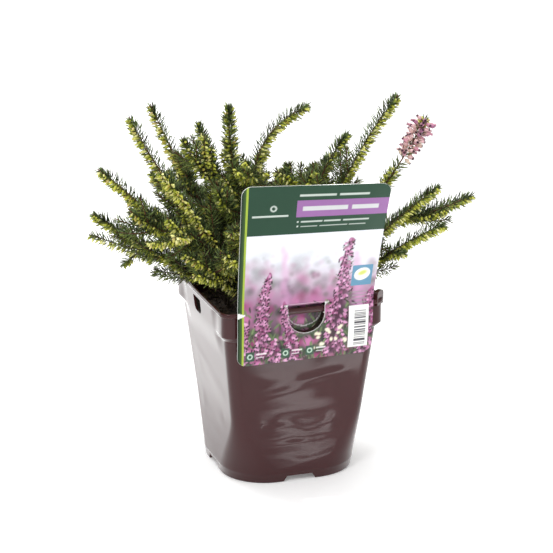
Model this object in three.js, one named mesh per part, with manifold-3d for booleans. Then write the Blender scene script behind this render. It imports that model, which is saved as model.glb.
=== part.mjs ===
// A potted winter heath: a square plastic nursery pot, its soil, a card label hooked over the
// rim, and leafy stems of needles and buds, one of them in flower.
// Millimetres, +Z up, -Y is the side that carries the label. The pot stands on z = 0.
import * as THREE from 'three';
import { mergeVertices } from 'three/addons/utils/BufferGeometryUtils.js';
import Module from 'manifold-3d';

const wasm = await Module();
wasm.setup();

// Pot
const POT_HEIGHT = 141;
const POT_HALF = 64.2;
const WALL = 1.5;
const RIM_HALF_INNER = 61.8;
const RIM_RADIUS = 14;
const RIM_TALL = 3.2;
const COLLAR_Z = 117.5;
const COLLAR_HALF = 63.5;
const COLLAR_RADIUS = 17;
const NECK_HALF = 61.4;
const NECK_RADIUS = 20;
const BASE_HALF = 51.6;
const BASE_RADIUS = 35;
const PAD_START = 30;
const PAD_FULL = 36;
const PLATE_Z = 5;
const FLOOR_Z = 6.8;
const CORNER_STEPS = 5;
const FOOT_RECESS_RADIUS = 41;
const NOTCH_WIDE = 27;
const NOTCH_NARROW = 20;
const NOTCH_TALL = 4.6;
const DRAIN_HOLES = 6;
const DRAIN_RING = 27;
const DRAIN_RADIUS = 4.5;
const MAIN_SLOT = { wide: 29, top: 136.2, tall: 14.5, round: 3, shift: 0 };
const SIDE_SLOT = { wide: 18, top: 134, tall: 12.8, round: 5, shift: 4 };
const LUG_DEEP = 3.4;
const LUG_WIDE = 11;
const LUG_TALL = 10.8;
const LUG_TOP = 146.8;
const COLLAR_RISE = 2.5;

// Soil
const GAP = 0.35;
const SOIL_TOP = 120.4;
const SOIL_BUMP = 1.6;
const HOLE_DEPTH = 7;
const HOLE_RADIUS = 2.1;
const FOOT_RISE = 9.6;
const RING_SCALES = [0.8, 0.45];

// Label card
const CARD_WIDE = 105;
const CARD_TOP = 240;
const CARD_BOTTOM = 100.5;
const CARD_X = -0.4;
const CARD_THICK = 0.8;
const CARD_CORNER = 7;
const CARD_FRONT = -65.9;
const CARD_BEND_Z = 144;
const CARD_LEAN_LEFT = 12;
const CARD_LEAN_RIGHT = 35;
const CARD_TUCK_LEFT = 1.6;
const CARD_TUCK_RIGHT = 4.4;
const TONGUE_HALF = 14.2;
const TONGUE_BOTTOM = 121.8;
const SLIT_HALF = 27.5;
const SLIT_TALL = 1.4;
const TONGUE_Y = -60.2;

// Leafy stems
const STEM_RADIUS = 1.2;
const TWIG_RADIUS = 0.95;
const STEM_STEP = 17;
const RING_SIDES = 6;
const WHORL_STEP = 2.8;
const NEEDLE_OUT = 6.6;
const NEEDLE_FORWARD = 4.6;
const BUD_OUT = 4.2;
const BUD_FORWARD = 1.2;
const NEEDLE_CLEARANCE = 1.9;
const CORE_CLEARANCE = 3.1;
const NEIGHBOUR_REACH = 26;
const CORE_TAPER = 0.72;
const ANGLE_SWAY = 0.25;
const LENGTH_SWAY = 0.12;
const BUD_SIDE = -0.3;
const TIP_SHARE = 0.3;
const REACH_SHARES = [1, 0.72, 0.45, 0.2];
const TUFT = 5;
const BELL_LEAN = 0.35;

// Each stem stands in the soil at its root. Its first shoot runs from there to a tip, and the
// others fork from that one. A knee pulls the curve, and leafy is the length that bears needles.
const STEMS = [
  { name: 'stem_left_high', root: [-17, 4], shoots: [
    { tip: [-108, 21, 273], knee: [-88, 18, 226], leafy: 80 },
    { tip: [-98, 40, 230], knee: [-78, 26, 208], leafy: 36, fork: 0.5 }] },
  { name: 'stem_left_rear', root: [-13, 12], shoots: [
    { tip: [-84, 49, 275], knee: [-68, 39, 228], leafy: 80 },
    { tip: [-62, 68, 232], knee: [-47, 53, 195], leafy: 42, fork: 0.4 }] },
  { name: 'stem_left_low', root: [-27, 3], shoots: [
    { tip: [-133, 19, 236], knee: [-95, 13, 203], leafy: 104 },
    { tip: [-114, 1, 207], knee: [-87, 2, 184], leafy: 40, fork: 0.45 }] },
  { name: 'stem_left_lowest', root: [-36, 10], shoots: [
    { tip: [-135, 36, 195], knee: [-96, 22, 168], leafy: 98 }] },
  { name: 'stem_trailing', root: [-34, 24], shoots: [
    { tip: [-124, 89, 166], knee: [-80, 65, 160], leafy: 60 }] },
  { name: 'stem_yellow_front', root: [-22, -7], shoots: [
    { tip: [-97, -20, 241], knee: [-68, -10, 205], leafy: 104 },
    { tip: [-93, -24, 207], knee: [-76, -18, 182], leafy: 34, fork: 0.45 }] },
  { name: 'stem_left_upright', root: [-9, 2], shoots: [
    { tip: [-54, 25, 264], knee: [-46, 17, 225], leafy: 92 },
    { tip: [-73, 3, 258], knee: [-58, 5, 230], leafy: 44, fork: 0.5 }] },
  { name: 'stem_upright', root: [-6, -2.5], shoots: [
    { tip: [-36, 6, 280], knee: [-38, 5, 220], leafy: 84 },
    { tip: [-52, -14, 222], knee: [-44, -10, 202], leafy: 30, fork: 0.4 }] },
  { name: 'stem_arching', root: [0, 2], shoots: [
    { tip: [26, 2, 276], knee: [-38, 12, 262], leafy: 92 },
    { tip: [-30, -14, 243], knee: [-20, -12, 222], leafy: 30, fork: 0.45 }] },
  { name: 'stem_right_high', root: [12, -4], shoots: [
    { tip: [88, -19, 284], knee: [47, -8, 228], leafy: 92 },
    { tip: [20, -20, 232], knee: [16, -18, 208], leafy: 26, fork: 0.4 }] },
  { name: 'stem_right_upright', root: [3, 8], shoots: [
    { tip: [61, 12, 249], knee: [36, 12, 228], leafy: 56 },
    { tip: [12, 14, 230], knee: [9, 11, 204], leafy: 34, fork: 0.4 }] },
  { name: 'stem_right_middle', root: [22, -12], shoots: [
    { tip: [114, -40, 217], knee: [86, -29, 194], leafy: 60 },
    { tip: [146, -32, 205], knee: [106, -26, 192], leafy: 64, fork: 0.55 }] },
  { name: 'stem_right_low', root: [30, -20], shoots: [
    { tip: [114, -55, 191], knee: [84, -43, 180], leafy: 66 },
    { tip: [84, -52, 171], knee: [68, -42, 168], leafy: 24, fork: 0.5 }] },
  { name: 'stem_front_left', root: [-27, -16], shoots: [
    { tip: [-81, -22, 178], knee: [-60, -26, 168], leafy: 60 },
    { tip: [-58, -52, 184], knee: [-46, -42, 172], leafy: 30, fork: 0.5 }] },
  { name: 'stem_front_nodding', root: [-15, -19], shoots: [
    { tip: [-53, -50, 196], knee: [-44, -36, 212], leafy: 62 },
    { tip: [-30, -44, 214], knee: [-26, -36, 196], leafy: 36, fork: 0.45 }] },
  { name: 'stem_front', root: [1, -20], shoots: [
    { tip: [-6, -46, 207], knee: [-4, -40, 180], leafy: 46 },
    { tip: [24, -54, 200], knee: [16, -42, 176], leafy: 42, fork: 0.35 }] },
  { name: 'stem_front_right', root: [16, -25], shoots: [
    { tip: [60, -52, 205], knee: [46, -42, 176], leafy: 54 }] },
  { name: 'stem_rear_left', root: [-20, 27], shoots: [
    { tip: [-62, 105, 205], knee: [-50, 78, 178], leafy: 66 },
    { tip: [-94, 84, 192], knee: [-66, 64, 172], leafy: 44, fork: 0.45 }] },
  { name: 'stem_rear', root: [-4, 28], shoots: [
    { tip: [-25, 115, 188], knee: [-20, 78, 172], leafy: 64 },
    { tip: [8, 120, 200], knee: [2, 84, 178], leafy: 56, fork: 0.4 }] },
  { name: 'stem_rear_middle', root: [3, 17], shoots: [
    { tip: [38, 112, 186], knee: [28, 74, 176], leafy: 60 },
    { tip: [23, 54, 215], knee: [14, 38, 192], leafy: 40, fork: 0.35 }] },
  { name: 'stem_rear_right', root: [16, 20], shoots: [
    { tip: [58, 92, 205], knee: [44, 66, 180], leafy: 62 },
    { tip: [56, 44, 225], knee: [38, 34, 200], leafy: 44, fork: 0.4 }] },
  { name: 'stem_right_rear', root: [26, 12], shoots: [
    { tip: [88, 86, 190], knee: [64, 60, 172], leafy: 60 },
    { tip: [102, 56, 185], knee: [76, 40, 170], leafy: 50, fork: 0.45 }] },
  { name: 'stem_right', root: [30, 12], shoots: [
    { tip: [123, 26, 181], knee: [90, 22, 174], leafy: 66 }] },
  { name: 'stem_centre_rear', root: [-4, 9], shoots: [
    { tip: [-19, 70, 238], knee: [-15, 42, 208], leafy: 66 }] },
];

const FLOWER_STEM = {
  name: 'stem_in_flower', root: [20, -3],
  shoot: { tip: [116, -8, 264], knee: [91, -10, 226] },
  bloomLength: 42, bells: 30, bellsPerTurn: 3.4,
};
const BELL = { belly: 2.1, bellyAt: 5.8, neck: 0.7, mouth: 1.5, mouthAt: 9, sides: 5 };

// Turns a triangle list into a solid that can be joined and cut
function toSolid(geometry) {
  const bare = geometry.index ? geometry.clone() : geometry;
  bare.deleteAttribute('normal');
  bare.deleteAttribute('uv');
  const welded = mergeVertices(bare, 1e-4);
  return new wasm.Manifold(new wasm.Mesh({
    numProp: 3,
    vertProperties: new Float32Array(welded.attributes.position.array),
    triVerts: new Uint32Array(welded.index.array),
  }));
}

function toGeometry(solid) {
  const mesh = solid.getMesh();
  const geometry = new THREE.BufferGeometry();
  geometry.setAttribute('position', new THREE.BufferAttribute(mesh.vertProperties, 3));
  geometry.setIndex(new THREE.BufferAttribute(mesh.triVerts, 1));
  return geometry;
}

function geometryFrom(points, triangles) {
  const geometry = new THREE.BufferGeometry();
  const flat = points.flatMap((p) => [p.x, p.y, p.z]);
  geometry.setAttribute('position', new THREE.Float32BufferAttribute(flat, 3));
  geometry.setIndex(triangles.flat());
  return geometry;
}

// Skins rings of equal count, lowest first and counter-clockwise seen from the far end, and
// closes both ends on a centre point
function loft(rings, startCentre, endCentre) {
  const count = rings[0].length;
  const points = rings.flat();
  const triangles = [];
  for (let k = 0; k + 1 < rings.length; k += 1) {
    for (let j = 0; j < count; j += 1) {
      const a = k * count + j;
      const b = k * count + (j + 1) % count;
      triangles.push([a, b, b + count], [a, b + count, a + count]);
    }
  }
  const start = points.push(startCentre) - 1;
  const end = points.push(endCentre) - 1;
  const last = (rings.length - 1) * count;
  for (let j = 0; j < count; j += 1) {
    const next = (j + 1) % count;
    triangles.push([start, next, j], [end, last + j, last + next]);
  }
  return geometryFrom(points, triangles);
}

function squareLoft(levels, outlineAt) {
  const rings = levels.map((z) => outlineAt(z).map(([x, y]) => new THREE.Vector3(x, y, z)));
  const bottom = new THREE.Vector3(0, 0, levels[0]);
  const top = new THREE.Vector3(0, 0, levels[levels.length - 1]);
  return toSolid(loft(rings, bottom, top));
}

// A square with round corners. Each side also has the four points where a corner pad begins
// and where it stands out in full.
function squareOutline(half, radius) {
  const points = [];
  for (let corner = 0; corner < 4; corner += 1) {
    const turn = corner * Math.PI / 2;
    const put = (x, y) => points.push([
      x * Math.cos(turn) - y * Math.sin(turn),
      x * Math.sin(turn) + y * Math.cos(turn),
    ]);
    for (const y of [-PAD_FULL, -PAD_START, PAD_START, PAD_FULL]) {
      put(half, Math.sign(y) * Math.min(Math.abs(y), half - radius));
    }
    for (let i = 1; i < CORNER_STEPS; i += 1) {
      const angle = (i / CORNER_STEPS) * Math.PI / 2;
      put(half - radius + radius * Math.cos(angle), half - radius + radius * Math.sin(angle));
    }
  }
  return points;
}

const mix = (a, b, t) => a + (b - a) * t;
const clamp01 = (t) => Math.min(1, Math.max(0, t));

// The tapered wall, from a nearly round base to a squarer neck
function wallOutline(z, inset) {
  const t = z / COLLAR_Z;
  const half = mix(BASE_HALF, NECK_HALF, t) - inset;
  const flat = mix(BASE_HALF - BASE_RADIUS, NECK_HALF - NECK_RADIUS, t);
  return squareOutline(half, half - flat);
}

// The collar: the wall bulges into a pad at each corner
function collarOutline(z) {
  const wall = wallOutline(z, 0);
  const pad = squareOutline(COLLAR_HALF, COLLAR_RADIUS);
  const perSide = CORNER_STEPS + 3;
  return wall.map((point, i) => {
    const place = i % perSide;
    const onFlat = place === 1 || place === 2;
    return onFlat ? point : pad[i];
  });
}

// A slot through one side of the wall, with round lower corners. turn counts quarter turns from
// the front, and shift moves the slot along the wall.
function slotSolid({ wide, top, tall, round, shift }, turn) {
  const left = shift - wide / 2;
  const right = shift + wide / 2;
  const low = top - tall;
  const shape = new THREE.Shape();
  shape.moveTo(left, top);
  shape.lineTo(left, low + round);
  shape.quadraticCurveTo(left, low, left + round, low);
  shape.lineTo(right - round, low);
  shape.quadraticCurveTo(right, low, right, low + round);
  shape.lineTo(right, top);
  const geometry = new THREE.ExtrudeGeometry(shape, { depth: 16, bevelEnabled: false, curveSegments: 3 });
  geometry.rotateX(Math.PI / 2);
  geometry.translate(0, -POT_HALF + 9, 0);
  geometry.rotateZ(turn * Math.PI / 2);
  return toSolid(geometry);
}

function notchSolid(angle) {
  const shape = new THREE.Shape();
  shape.moveTo(-NOTCH_WIDE / 2, -1);
  shape.lineTo(NOTCH_WIDE / 2, -1);
  shape.lineTo(NOTCH_NARROW / 2, NOTCH_TALL);
  shape.lineTo(-NOTCH_NARROW / 2, NOTCH_TALL);
  const geometry = new THREE.ExtrudeGeometry(shape, { depth: 4 * POT_HALF, bevelEnabled: false });
  geometry.rotateX(Math.PI / 2);
  geometry.translate(0, 2 * POT_HALF, 0);
  geometry.rotateZ(angle);
  return toSolid(geometry);
}

function uprightCylinder(radius, low, high, sides, x, y) {
  const geometry = new THREE.CylinderGeometry(radius, radius, high - low, sides);
  geometry.rotateX(Math.PI / 2);
  geometry.translate(x, y, (low + high) / 2);
  return toSolid(geometry);
}

// The small lug on the rim's corner to the right of the label
function lugSolid() {
  const geometry = new THREE.BoxGeometry(LUG_DEEP, LUG_WIDE, LUG_TALL);
  geometry.rotateZ(-Math.PI / 4);
  const reach = POT_HALF - RIM_RADIUS + (RIM_RADIUS - 1.8) * Math.SQRT1_2;
  geometry.translate(reach, -reach, LUG_TOP - LUG_TALL / 2);
  return toSolid(geometry);
}

function makePot() {
  const rimLow = POT_HEIGHT - RIM_TALL;
  let pot = squareLoft([0, COLLAR_Z, rimLow + 1], (z) => wallOutline(z, 0));
  pot = pot.add(squareLoft([COLLAR_Z, COLLAR_Z + COLLAR_RISE, rimLow + 1], (z) => (
    z === COLLAR_Z ? wallOutline(z, 0.4) : collarOutline(z))));
  pot = pot.add(squareLoft([rimLow, POT_HEIGHT], () => squareOutline(POT_HALF, RIM_RADIUS)));
  pot = pot.add(lugSolid());
  pot = pot.subtract(squareLoft([FLOOR_Z, COLLAR_Z, rimLow + 1.7], (z) => wallOutline(z, WALL)));
  pot = pot.subtract(squareLoft([rimLow + 1.2, POT_HEIGHT + LUG_TALL], () => (
    squareOutline(RIM_HALF_INNER, RIM_RADIUS + RIM_HALF_INNER - POT_HALF))));
  pot = pot.subtract(uprightCylinder(FOOT_RECESS_RADIUS, -1, PLATE_Z, 28, 0, 0));
  for (const angle of [0, Math.PI / 2]) {
    pot = pot.subtract(notchSolid(angle));
  }
  for (let k = 0; k < DRAIN_HOLES; k += 1) {
    const angle = (k / DRAIN_HOLES) * 2 * Math.PI;
    const x = DRAIN_RING * Math.cos(angle);
    const y = DRAIN_RING * Math.sin(angle);
    pot = pot.subtract(uprightCylinder(DRAIN_RADIUS, 0, FLOOR_Z + 1, 10, x, y));
  }
  pot = pot.subtract(slotSolid(MAIN_SLOT, 0));
  pot = pot.subtract(slotSolid(MAIN_SLOT, 2));
  pot = pot.subtract(slotSolid(SIDE_SLOT, 1));
  pot = pot.subtract(slotSolid({ ...SIDE_SLOT, shift: -SIDE_SLOT.shift }, 3));
  return pot;
}

// A repeatable stream of draws between 0 and 1
function makeRandom(seed) {
  let state = seed;
  return () => {
    state = (Math.imul(state, 1664525) + 1013904223) >>> 0;
    return state / 4294967296;
  };
}

// Potting soil: fills the pot to just below the slots, uneven on top, with a plain hole for
// each stem
function makeSoil(roots) {
  const random = makeRandom(7);
  const levels = [FLOOR_Z + GAP, COLLAR_Z, SOIL_TOP - 1];
  const rings = levels.map((z) => wallOutline(z, WALL + GAP).map(([x, y]) => new THREE.Vector3(x, y, z)));
  for (const scale of RING_SCALES) {
    rings.push(wallOutline(SOIL_TOP, WALL + GAP).map(([x, y]) => (
      new THREE.Vector3(x * scale, y * scale, SOIL_TOP + SOIL_BUMP * (random() - 0.5)))));
  }
  const bottom = new THREE.Vector3(0, 0, levels[0]);
  let soil = toSolid(loft(rings, bottom, new THREE.Vector3(0, 0, SOIL_TOP)));
  for (const [x, y] of roots) {
    soil = soil.subtract(uprightCylinder(HOLE_RADIUS, SOIL_TOP - HOLE_DEPTH - GAP, SOIL_TOP + 9, 5, x, y));
  }
  return soil;
}

// How far the card's front face stands out at a place on it
function cardY(x, z) {
  const across = clamp01((x - CARD_X) / CARD_WIDE + 0.5);
  if (z > CARD_BEND_Z) {
    const t = (z - CARD_BEND_Z) / (CARD_TOP - CARD_BEND_Z);
    return CARD_FRONT - mix(CARD_LEAN_LEFT, CARD_LEAN_RIGHT, across) * Math.pow(t, 1.15);
  }
  const t = (CARD_BEND_Z - z) / (CARD_BEND_Z - CARD_BOTTOM);
  return CARD_FRONT + mix(CARD_TUCK_LEFT, CARD_TUCK_RIGHT, across) * t * t;
}

function roundedShape(left, right, low, high, radius) {
  const shape = new THREE.Shape();
  shape.moveTo(left + radius, low);
  shape.lineTo(right - radius, low);
  shape.quadraticCurveTo(right, low, right, low + radius);
  shape.lineTo(right, high - radius);
  shape.quadraticCurveTo(right, high, right - radius, high);
  shape.lineTo(left + radius, high);
  shape.quadraticCurveTo(left, high, left, high - radius);
  shape.lineTo(left, low + radius);
  shape.quadraticCurveTo(left, low, left + radius, low);
  return shape;
}

function uprightPlate(shape, front, back, curveSegments) {
  const geometry = new THREE.ExtrudeGeometry(shape, { depth: back - front, bevelEnabled: false, curveSegments });
  geometry.rotateX(Math.PI / 2);
  geometry.translate(0, back, 0);
  return toSolid(geometry);
}

// The U-shaped cut that frees the tongue, with a slit to each side along its top
function tongueCut() {
  const shape = new THREE.Shape();
  const straight = TONGUE_BOTTOM + TONGUE_HALF;
  shape.moveTo(TONGUE_HALF, CARD_BEND_Z);
  shape.absarc(0, straight, TONGUE_HALF, 0, -Math.PI, true);
  shape.lineTo(-TONGUE_HALF, CARD_BEND_Z);
  shape.lineTo(-SLIT_HALF, CARD_BEND_Z);
  shape.lineTo(-SLIT_HALF, CARD_BEND_Z + SLIT_TALL);
  shape.lineTo(SLIT_HALF, CARD_BEND_Z + SLIT_TALL);
  shape.lineTo(SLIT_HALF, CARD_BEND_Z);
  return uprightPlate(shape, -2, 2, 8);
}

function makeLabel() {
  const tall = CARD_TOP - CARD_BOTTOM;
  const blank = new THREE.BoxGeometry(CARD_WIDE, CARD_THICK, tall, 7, 1, 9);
  blank.translate(CARD_X, CARD_THICK / 2, CARD_BOTTOM + tall / 2);
  const left = CARD_X - CARD_WIDE / 2;
  const outline = roundedShape(left, left + CARD_WIDE, CARD_BOTTOM, CARD_TOP, CARD_CORNER);
  let card = toSolid(blank).intersect(uprightPlate(outline, -1, 2, 4));
  card = card.subtract(tongueCut());
  const geometry = toGeometry(card);
  const place = geometry.attributes.position;
  for (let i = 0; i < place.count; i += 1) {
    place.setY(i, place.getY(i) + cardY(place.getX(i), place.getZ(i)));
  }
  return toSolid(geometry).add(tongueSolid());
}

// The tongue hooks back over the rim and hangs inside, behind the slot in the wall
function tongueSolid() {
  const rimTop = POT_HEIGHT + 1;
  const path = [
    [CARD_FRONT + 0.1, CARD_BEND_Z + 3.4],
    [CARD_FRONT + 0.3, CARD_BEND_Z + 1],
    [CARD_FRONT + 2.2, rimTop + 0.9],
    [TONGUE_Y - 0.9, rimTop],
    [TONGUE_Y, rimTop - 2.5],
    [TONGUE_Y, TONGUE_BOTTOM + 8],
    [TONGUE_Y, TONGUE_BOTTOM + 2.5],
    [TONGUE_Y, TONGUE_BOTTOM],
  ];
  const halves = path.map(([, z]) => {
    const drop = TONGUE_BOTTOM + TONGUE_HALF - z;
    return drop > 0 ? Math.sqrt(Math.max(30, TONGUE_HALF ** 2 - drop ** 2)) - 0.6 : TONGUE_HALF - 0.6;
  });
  const rings = path.map(([y, z], i) => {
    const [beforeY, beforeZ] = path[Math.max(0, i - 1)];
    const [afterY, afterZ] = path[Math.min(path.length - 1, i + 1)];
    const length = Math.hypot(afterY - beforeY, afterZ - beforeZ);
    const offY = (-(afterZ - beforeZ) / length) * CARD_THICK;
    const offZ = ((afterY - beforeY) / length) * CARD_THICK;
    return [
      new THREE.Vector3(-halves[i], y, z),
      new THREE.Vector3(-halves[i], y + offY, z + offZ),
      new THREE.Vector3(halves[i], y + offY, z + offZ),
      new THREE.Vector3(halves[i], y, z),
    ];
  });
  const middle = (ring) => ring[0].clone().add(ring[2]).multiplyScalar(0.5);
  return toSolid(loft(rings, middle(rings[0]), middle(rings[rings.length - 1])));
}

// The curve of a shoot, from the soil or from its fork, to its tip
function shootCurve(stem, shoot, leader) {
  const start = leader
    ? leader.getPoint(shoot.fork)
    : new THREE.Vector3(stem.root[0], stem.root[1], SOIL_TOP + FOOT_RISE);
  return new THREE.QuadraticBezierCurve3(
    start, new THREE.Vector3(...shoot.knee), new THREE.Vector3(...shoot.tip));
}

// Directions round a shoot: upper points to its upper or inner side, side across it
function frameOf(curve, centre, along) {
  const tip = curve.getPointAt(1);
  const outward = new THREE.Vector3(tip.x, tip.y, 0).normalize();
  const upper = new THREE.Vector3(-0.5 * outward.x, -0.5 * outward.y, 1);
  upper.addScaledVector(along, -upper.dot(along)).normalize();
  const side = new THREE.Vector3().crossVectors(along, upper);
  return { centre, along, upper, side };
}

function frameAt(curve, u) {
  return frameOf(curve, curve.getPointAt(u), curve.getTangentAt(u).normalize());
}

// The straight foot of a stem, in its hole in the soil
function footFrame(curve) {
  const start = curve.getPointAt(0);
  const centre = new THREE.Vector3(start.x, start.y, SOIL_TOP - HOLE_DEPTH);
  return frameOf(curve, centre, new THREE.Vector3(0, 0, 1));
}

function plainRing({ centre, upper, side }, radius) {
  const ring = [];
  for (let j = 0; j < RING_SIDES; j += 1) {
    const angle = (j / RING_SIDES) * 2 * Math.PI;
    ring.push(centre.clone()
      .addScaledVector(upper, radius * Math.cos(angle))
      .addScaledVector(side, radius * Math.sin(angle)));
  }
  return ring;
}

function segmentDistance(p1, q1, p2, q2) {
  const d1 = q1.clone().sub(p1);
  const d2 = q2.clone().sub(p2);
  const r = p1.clone().sub(p2);
  const a = d1.dot(d1);
  const e = d2.dot(d2);
  const f = d2.dot(r);
  const c = d1.dot(r);
  const b = d1.dot(d2);
  const denominator = a * e - b * b;
  let s = denominator > 1e-9 ? clamp01((b * f - c * e) / denominator) : 0;
  const t = clamp01((b * s + f) / e);
  s = clamp01((b * t - c) / a);
  return p1.clone().addScaledVector(d1, s).distanceTo(p2.clone().addScaledVector(d2, t));
}

// What the needles of one stem keep clear of: other stems and their needles, card, pot, soil
const placedCores = [];
const placedNeedles = [];

function farFromSolids(point) {
  if (point.z < SOIL_TOP + 2) {
    return false;
  }
  const wide = Math.max(Math.abs(point.x), Math.abs(point.y));
  if (point.z < POT_HEIGHT + 5 && wide > POT_HALF - 5 && wide < POT_HALF + 4) {
    return false;
  }
  const onCard = Math.abs(point.x - CARD_X) < CARD_WIDE / 2 + 3 && point.z < CARD_TOP + 4;
  return !(onCard && point.y < cardY(point.x, point.z) + 4);
}

function hasRoom(stemName, from, to) {
  const middle = from.clone().lerp(to, 0.6);
  if (!farFromSolids(to) || !farFromSolids(middle)) {
    return false;
  }
  const near = (list, clearance) => list.some((item) => (
    item.stemName !== stemName
    && Math.abs(item.from.x - from.x) < NEIGHBOUR_REACH
    && Math.abs(item.from.z - from.z) < NEIGHBOUR_REACH
    && segmentDistance(from, to, item.from, item.to) < clearance));
  return !near(placedNeedles, NEEDLE_CLEARANCE) && !near(placedCores, CORE_CLEARANCE);
}

// A leafy shoot is one skin: on each ring three points are pulled out as needles, or as short
// thick buds on the lower side, and the three between them stay on the slim core
function makeShoot(stemName, curve, shoot, radius, random) {
  const length = curve.getLength();
  const bare = Math.max(length - shoot.leafy, 3);
  const bareSteps = Math.max(1, Math.round(bare / STEM_STEP));
  const whorls = Math.round(shoot.leafy / WHORL_STEP);
  const stations = [];
  for (let k = 0; k < bareSteps; k += 1) {
    stations.push({ u: (k / bareSteps) * (bare / length), leafy: false });
  }
  for (let k = 0; k < whorls; k += 1) {
    stations.push({ u: (bare + (k / whorls) * (length - bare)) / length, leafy: k > 0 });
  }
  const pulledFirst = shoot.fork ? 0 : 1;
  const rings = stations.map(({ u, leafy }, k) => {
    const { centre, along, upper, side } = frameAt(curve, u);
    const core = radius * mix(1, CORE_TAPER, u);
    const toTip = k === stations.length - 1 ? TIP_SHARE : Math.min(1, 0.6 + (1 - u) * 4);
    const ring = [];
    for (let j = 0; j < RING_SIDES; j += 1) {
      const pulled = leafy && (j + k) % 2 === pulledFirst;
      const angle = (j / RING_SIDES) * 2 * Math.PI + (pulled ? ANGLE_SWAY * (random() - 0.5) : 0);
      const out = upper.clone().multiplyScalar(Math.cos(angle)).addScaledVector(side, Math.sin(angle));
      const root = centre.clone().addScaledVector(out, core);
      if (!pulled) {
        ring.push(root);
        continue;
      }
      const isBud = Math.cos(angle) < BUD_SIDE;
      const vary = mix(1 - LENGTH_SWAY, 1 + LENGTH_SWAY, random()) * toTip;
      const outBy = (isBud ? BUD_OUT : NEEDLE_OUT) * vary;
      const forwardBy = (isBud ? BUD_FORWARD : NEEDLE_FORWARD) * vary;
      const reach = REACH_SHARES.find((share) => {
        const end = root.clone().addScaledVector(out, outBy * share).addScaledVector(along, forwardBy * share);
        return hasRoom(stemName, root, end);
      }) ?? 0;
      const end = root.clone().addScaledVector(out, outBy * reach).addScaledVector(along, forwardBy * reach);
      if (reach > 0) {
        placedNeedles.push({ stemName, from: root, to: end });
      }
      ring.push(end);
    }
    return ring;
  });
  if (shoot.fork) {
    return toSolid(skinRings(rings, curve.getPointAt(0), tuftPoint(curve)));
  }
  const foot = footFrame(curve);
  return toSolid(skinRings([plainRing(foot, radius), ...rings], foot.centre, tuftPoint(curve)));
}

function tuftPoint(curve) {
  return curve.getPointAt(1).addScaledVector(curve.getTangentAt(1), TUFT);
}

// Skins rings whose pulled points alternate, so that each needle keeps its own four faces
function skinRings(rings, start, end) {
  const points = rings.flat();
  const triangles = [];
  for (let k = 0; k + 1 < rings.length; k += 1) {
    for (let j = 0; j < RING_SIDES; j += 1) {
      const a = k * RING_SIDES + j;
      const b = k * RING_SIDES + (j + 1) % RING_SIDES;
      const c = b + RING_SIDES;
      const d = a + RING_SIDES;
      if ((j + k) % 2 === 0) {
        triangles.push([a, b, d], [b, c, d]);
      } else {
        triangles.push([a, b, c], [a, c, d]);
      }
    }
  }
  const first = points.push(start) - 1;
  const last = points.push(end) - 1;
  const lastRing = (rings.length - 1) * RING_SIDES;
  for (let j = 0; j < RING_SIDES; j += 1) {
    const next = (j + 1) % RING_SIDES;
    triangles.push([first, next, j], [last, lastRing + j, lastRing + next]);
  }
  return geometryFrom(points, triangles);
}

function registerCore(stemName, curve) {
  const steps = 14;
  for (let k = 0; k < steps; k += 1) {
    placedCores.push({ stemName, from: curve.getPointAt(k / steps), to: curve.getPointAt((k + 1) / steps) });
  }
}

function stemCurves(stem) {
  const leader = shootCurve(stem, stem.shoots[0], null);
  return stem.shoots.map((shoot, i) => (i === 0 ? leader : shootCurve(stem, shoot, leader)));
}

function makeStem(stem, seed) {
  const random = makeRandom(seed);
  const curves = stemCurves(stem);
  const solids = stem.shoots.map((shoot, i) => (
    makeShoot(stem.name, curves[i], shoot, i === 0 ? STEM_RADIUS : TWIG_RADIUS, random)));
  return solids.reduce((whole, solid) => whole.add(solid));
}

function flowerCurve() {
  return shootCurve(FLOWER_STEM, FLOWER_STEM.shoot, null);
}

// One drop-shaped bell flower on a short stalk, hanging out along +X
function bellGeometry() {
  const widths = [[0, BELL.neck], [BELL.bellyAt, BELL.belly], [BELL.mouthAt, BELL.mouth]];
  const rings = widths.map(([x, width]) => {
    const ring = [];
    for (let j = 0; j < BELL.sides; j += 1) {
      const angle = (j / BELL.sides) * 2 * Math.PI;
      ring.push(new THREE.Vector3(x, width * Math.cos(angle), width * Math.sin(angle)));
    }
    return ring;
  });
  return loft(rings, new THREE.Vector3(0, 0, 0), new THREE.Vector3(BELL.mouthAt + 0.6, 0, 0));
}

function makeFlowerStem() {
  const curve = flowerCurve();
  const length = curve.getLength();
  const bloomStart = 1 - FLOWER_STEM.bloomLength / length;
  const foot = footFrame(curve);
  const stations = [0, 0.16, 0.32, 0.48, 0.62, bloomStart, mix(bloomStart, 1, 0.5), 0.99];
  const rings = [foot, ...stations.map((u) => frameAt(curve, u))].map((frame) => (
    plainRing(frame, STEM_RADIUS)));
  let stem = toSolid(loft(rings, foot.centre, tuftPoint(curve)));
  for (let k = 0; k < FLOWER_STEM.bells; k += 1) {
    const u = mix(bloomStart, 0.985, (k + 0.5) / FLOWER_STEM.bells);
    const { centre, along, upper, side } = frameAt(curve, u);
    const angle = (k / FLOWER_STEM.bellsPerTurn) * 2 * Math.PI;
    const out = upper.clone().multiplyScalar(Math.cos(angle)).addScaledVector(side, Math.sin(angle));
    out.addScaledVector(along, BELL_LEAN).normalize();
    const across = new THREE.Vector3().crossVectors(along, out).normalize();
    const third = new THREE.Vector3().crossVectors(out, across);
    const bell = bellGeometry();
    bell.applyMatrix4(new THREE.Matrix4().makeBasis(out, across, third).setPosition(centre));
    stem = stem.add(toSolid(bell));
  }
  return stem;
}

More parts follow.
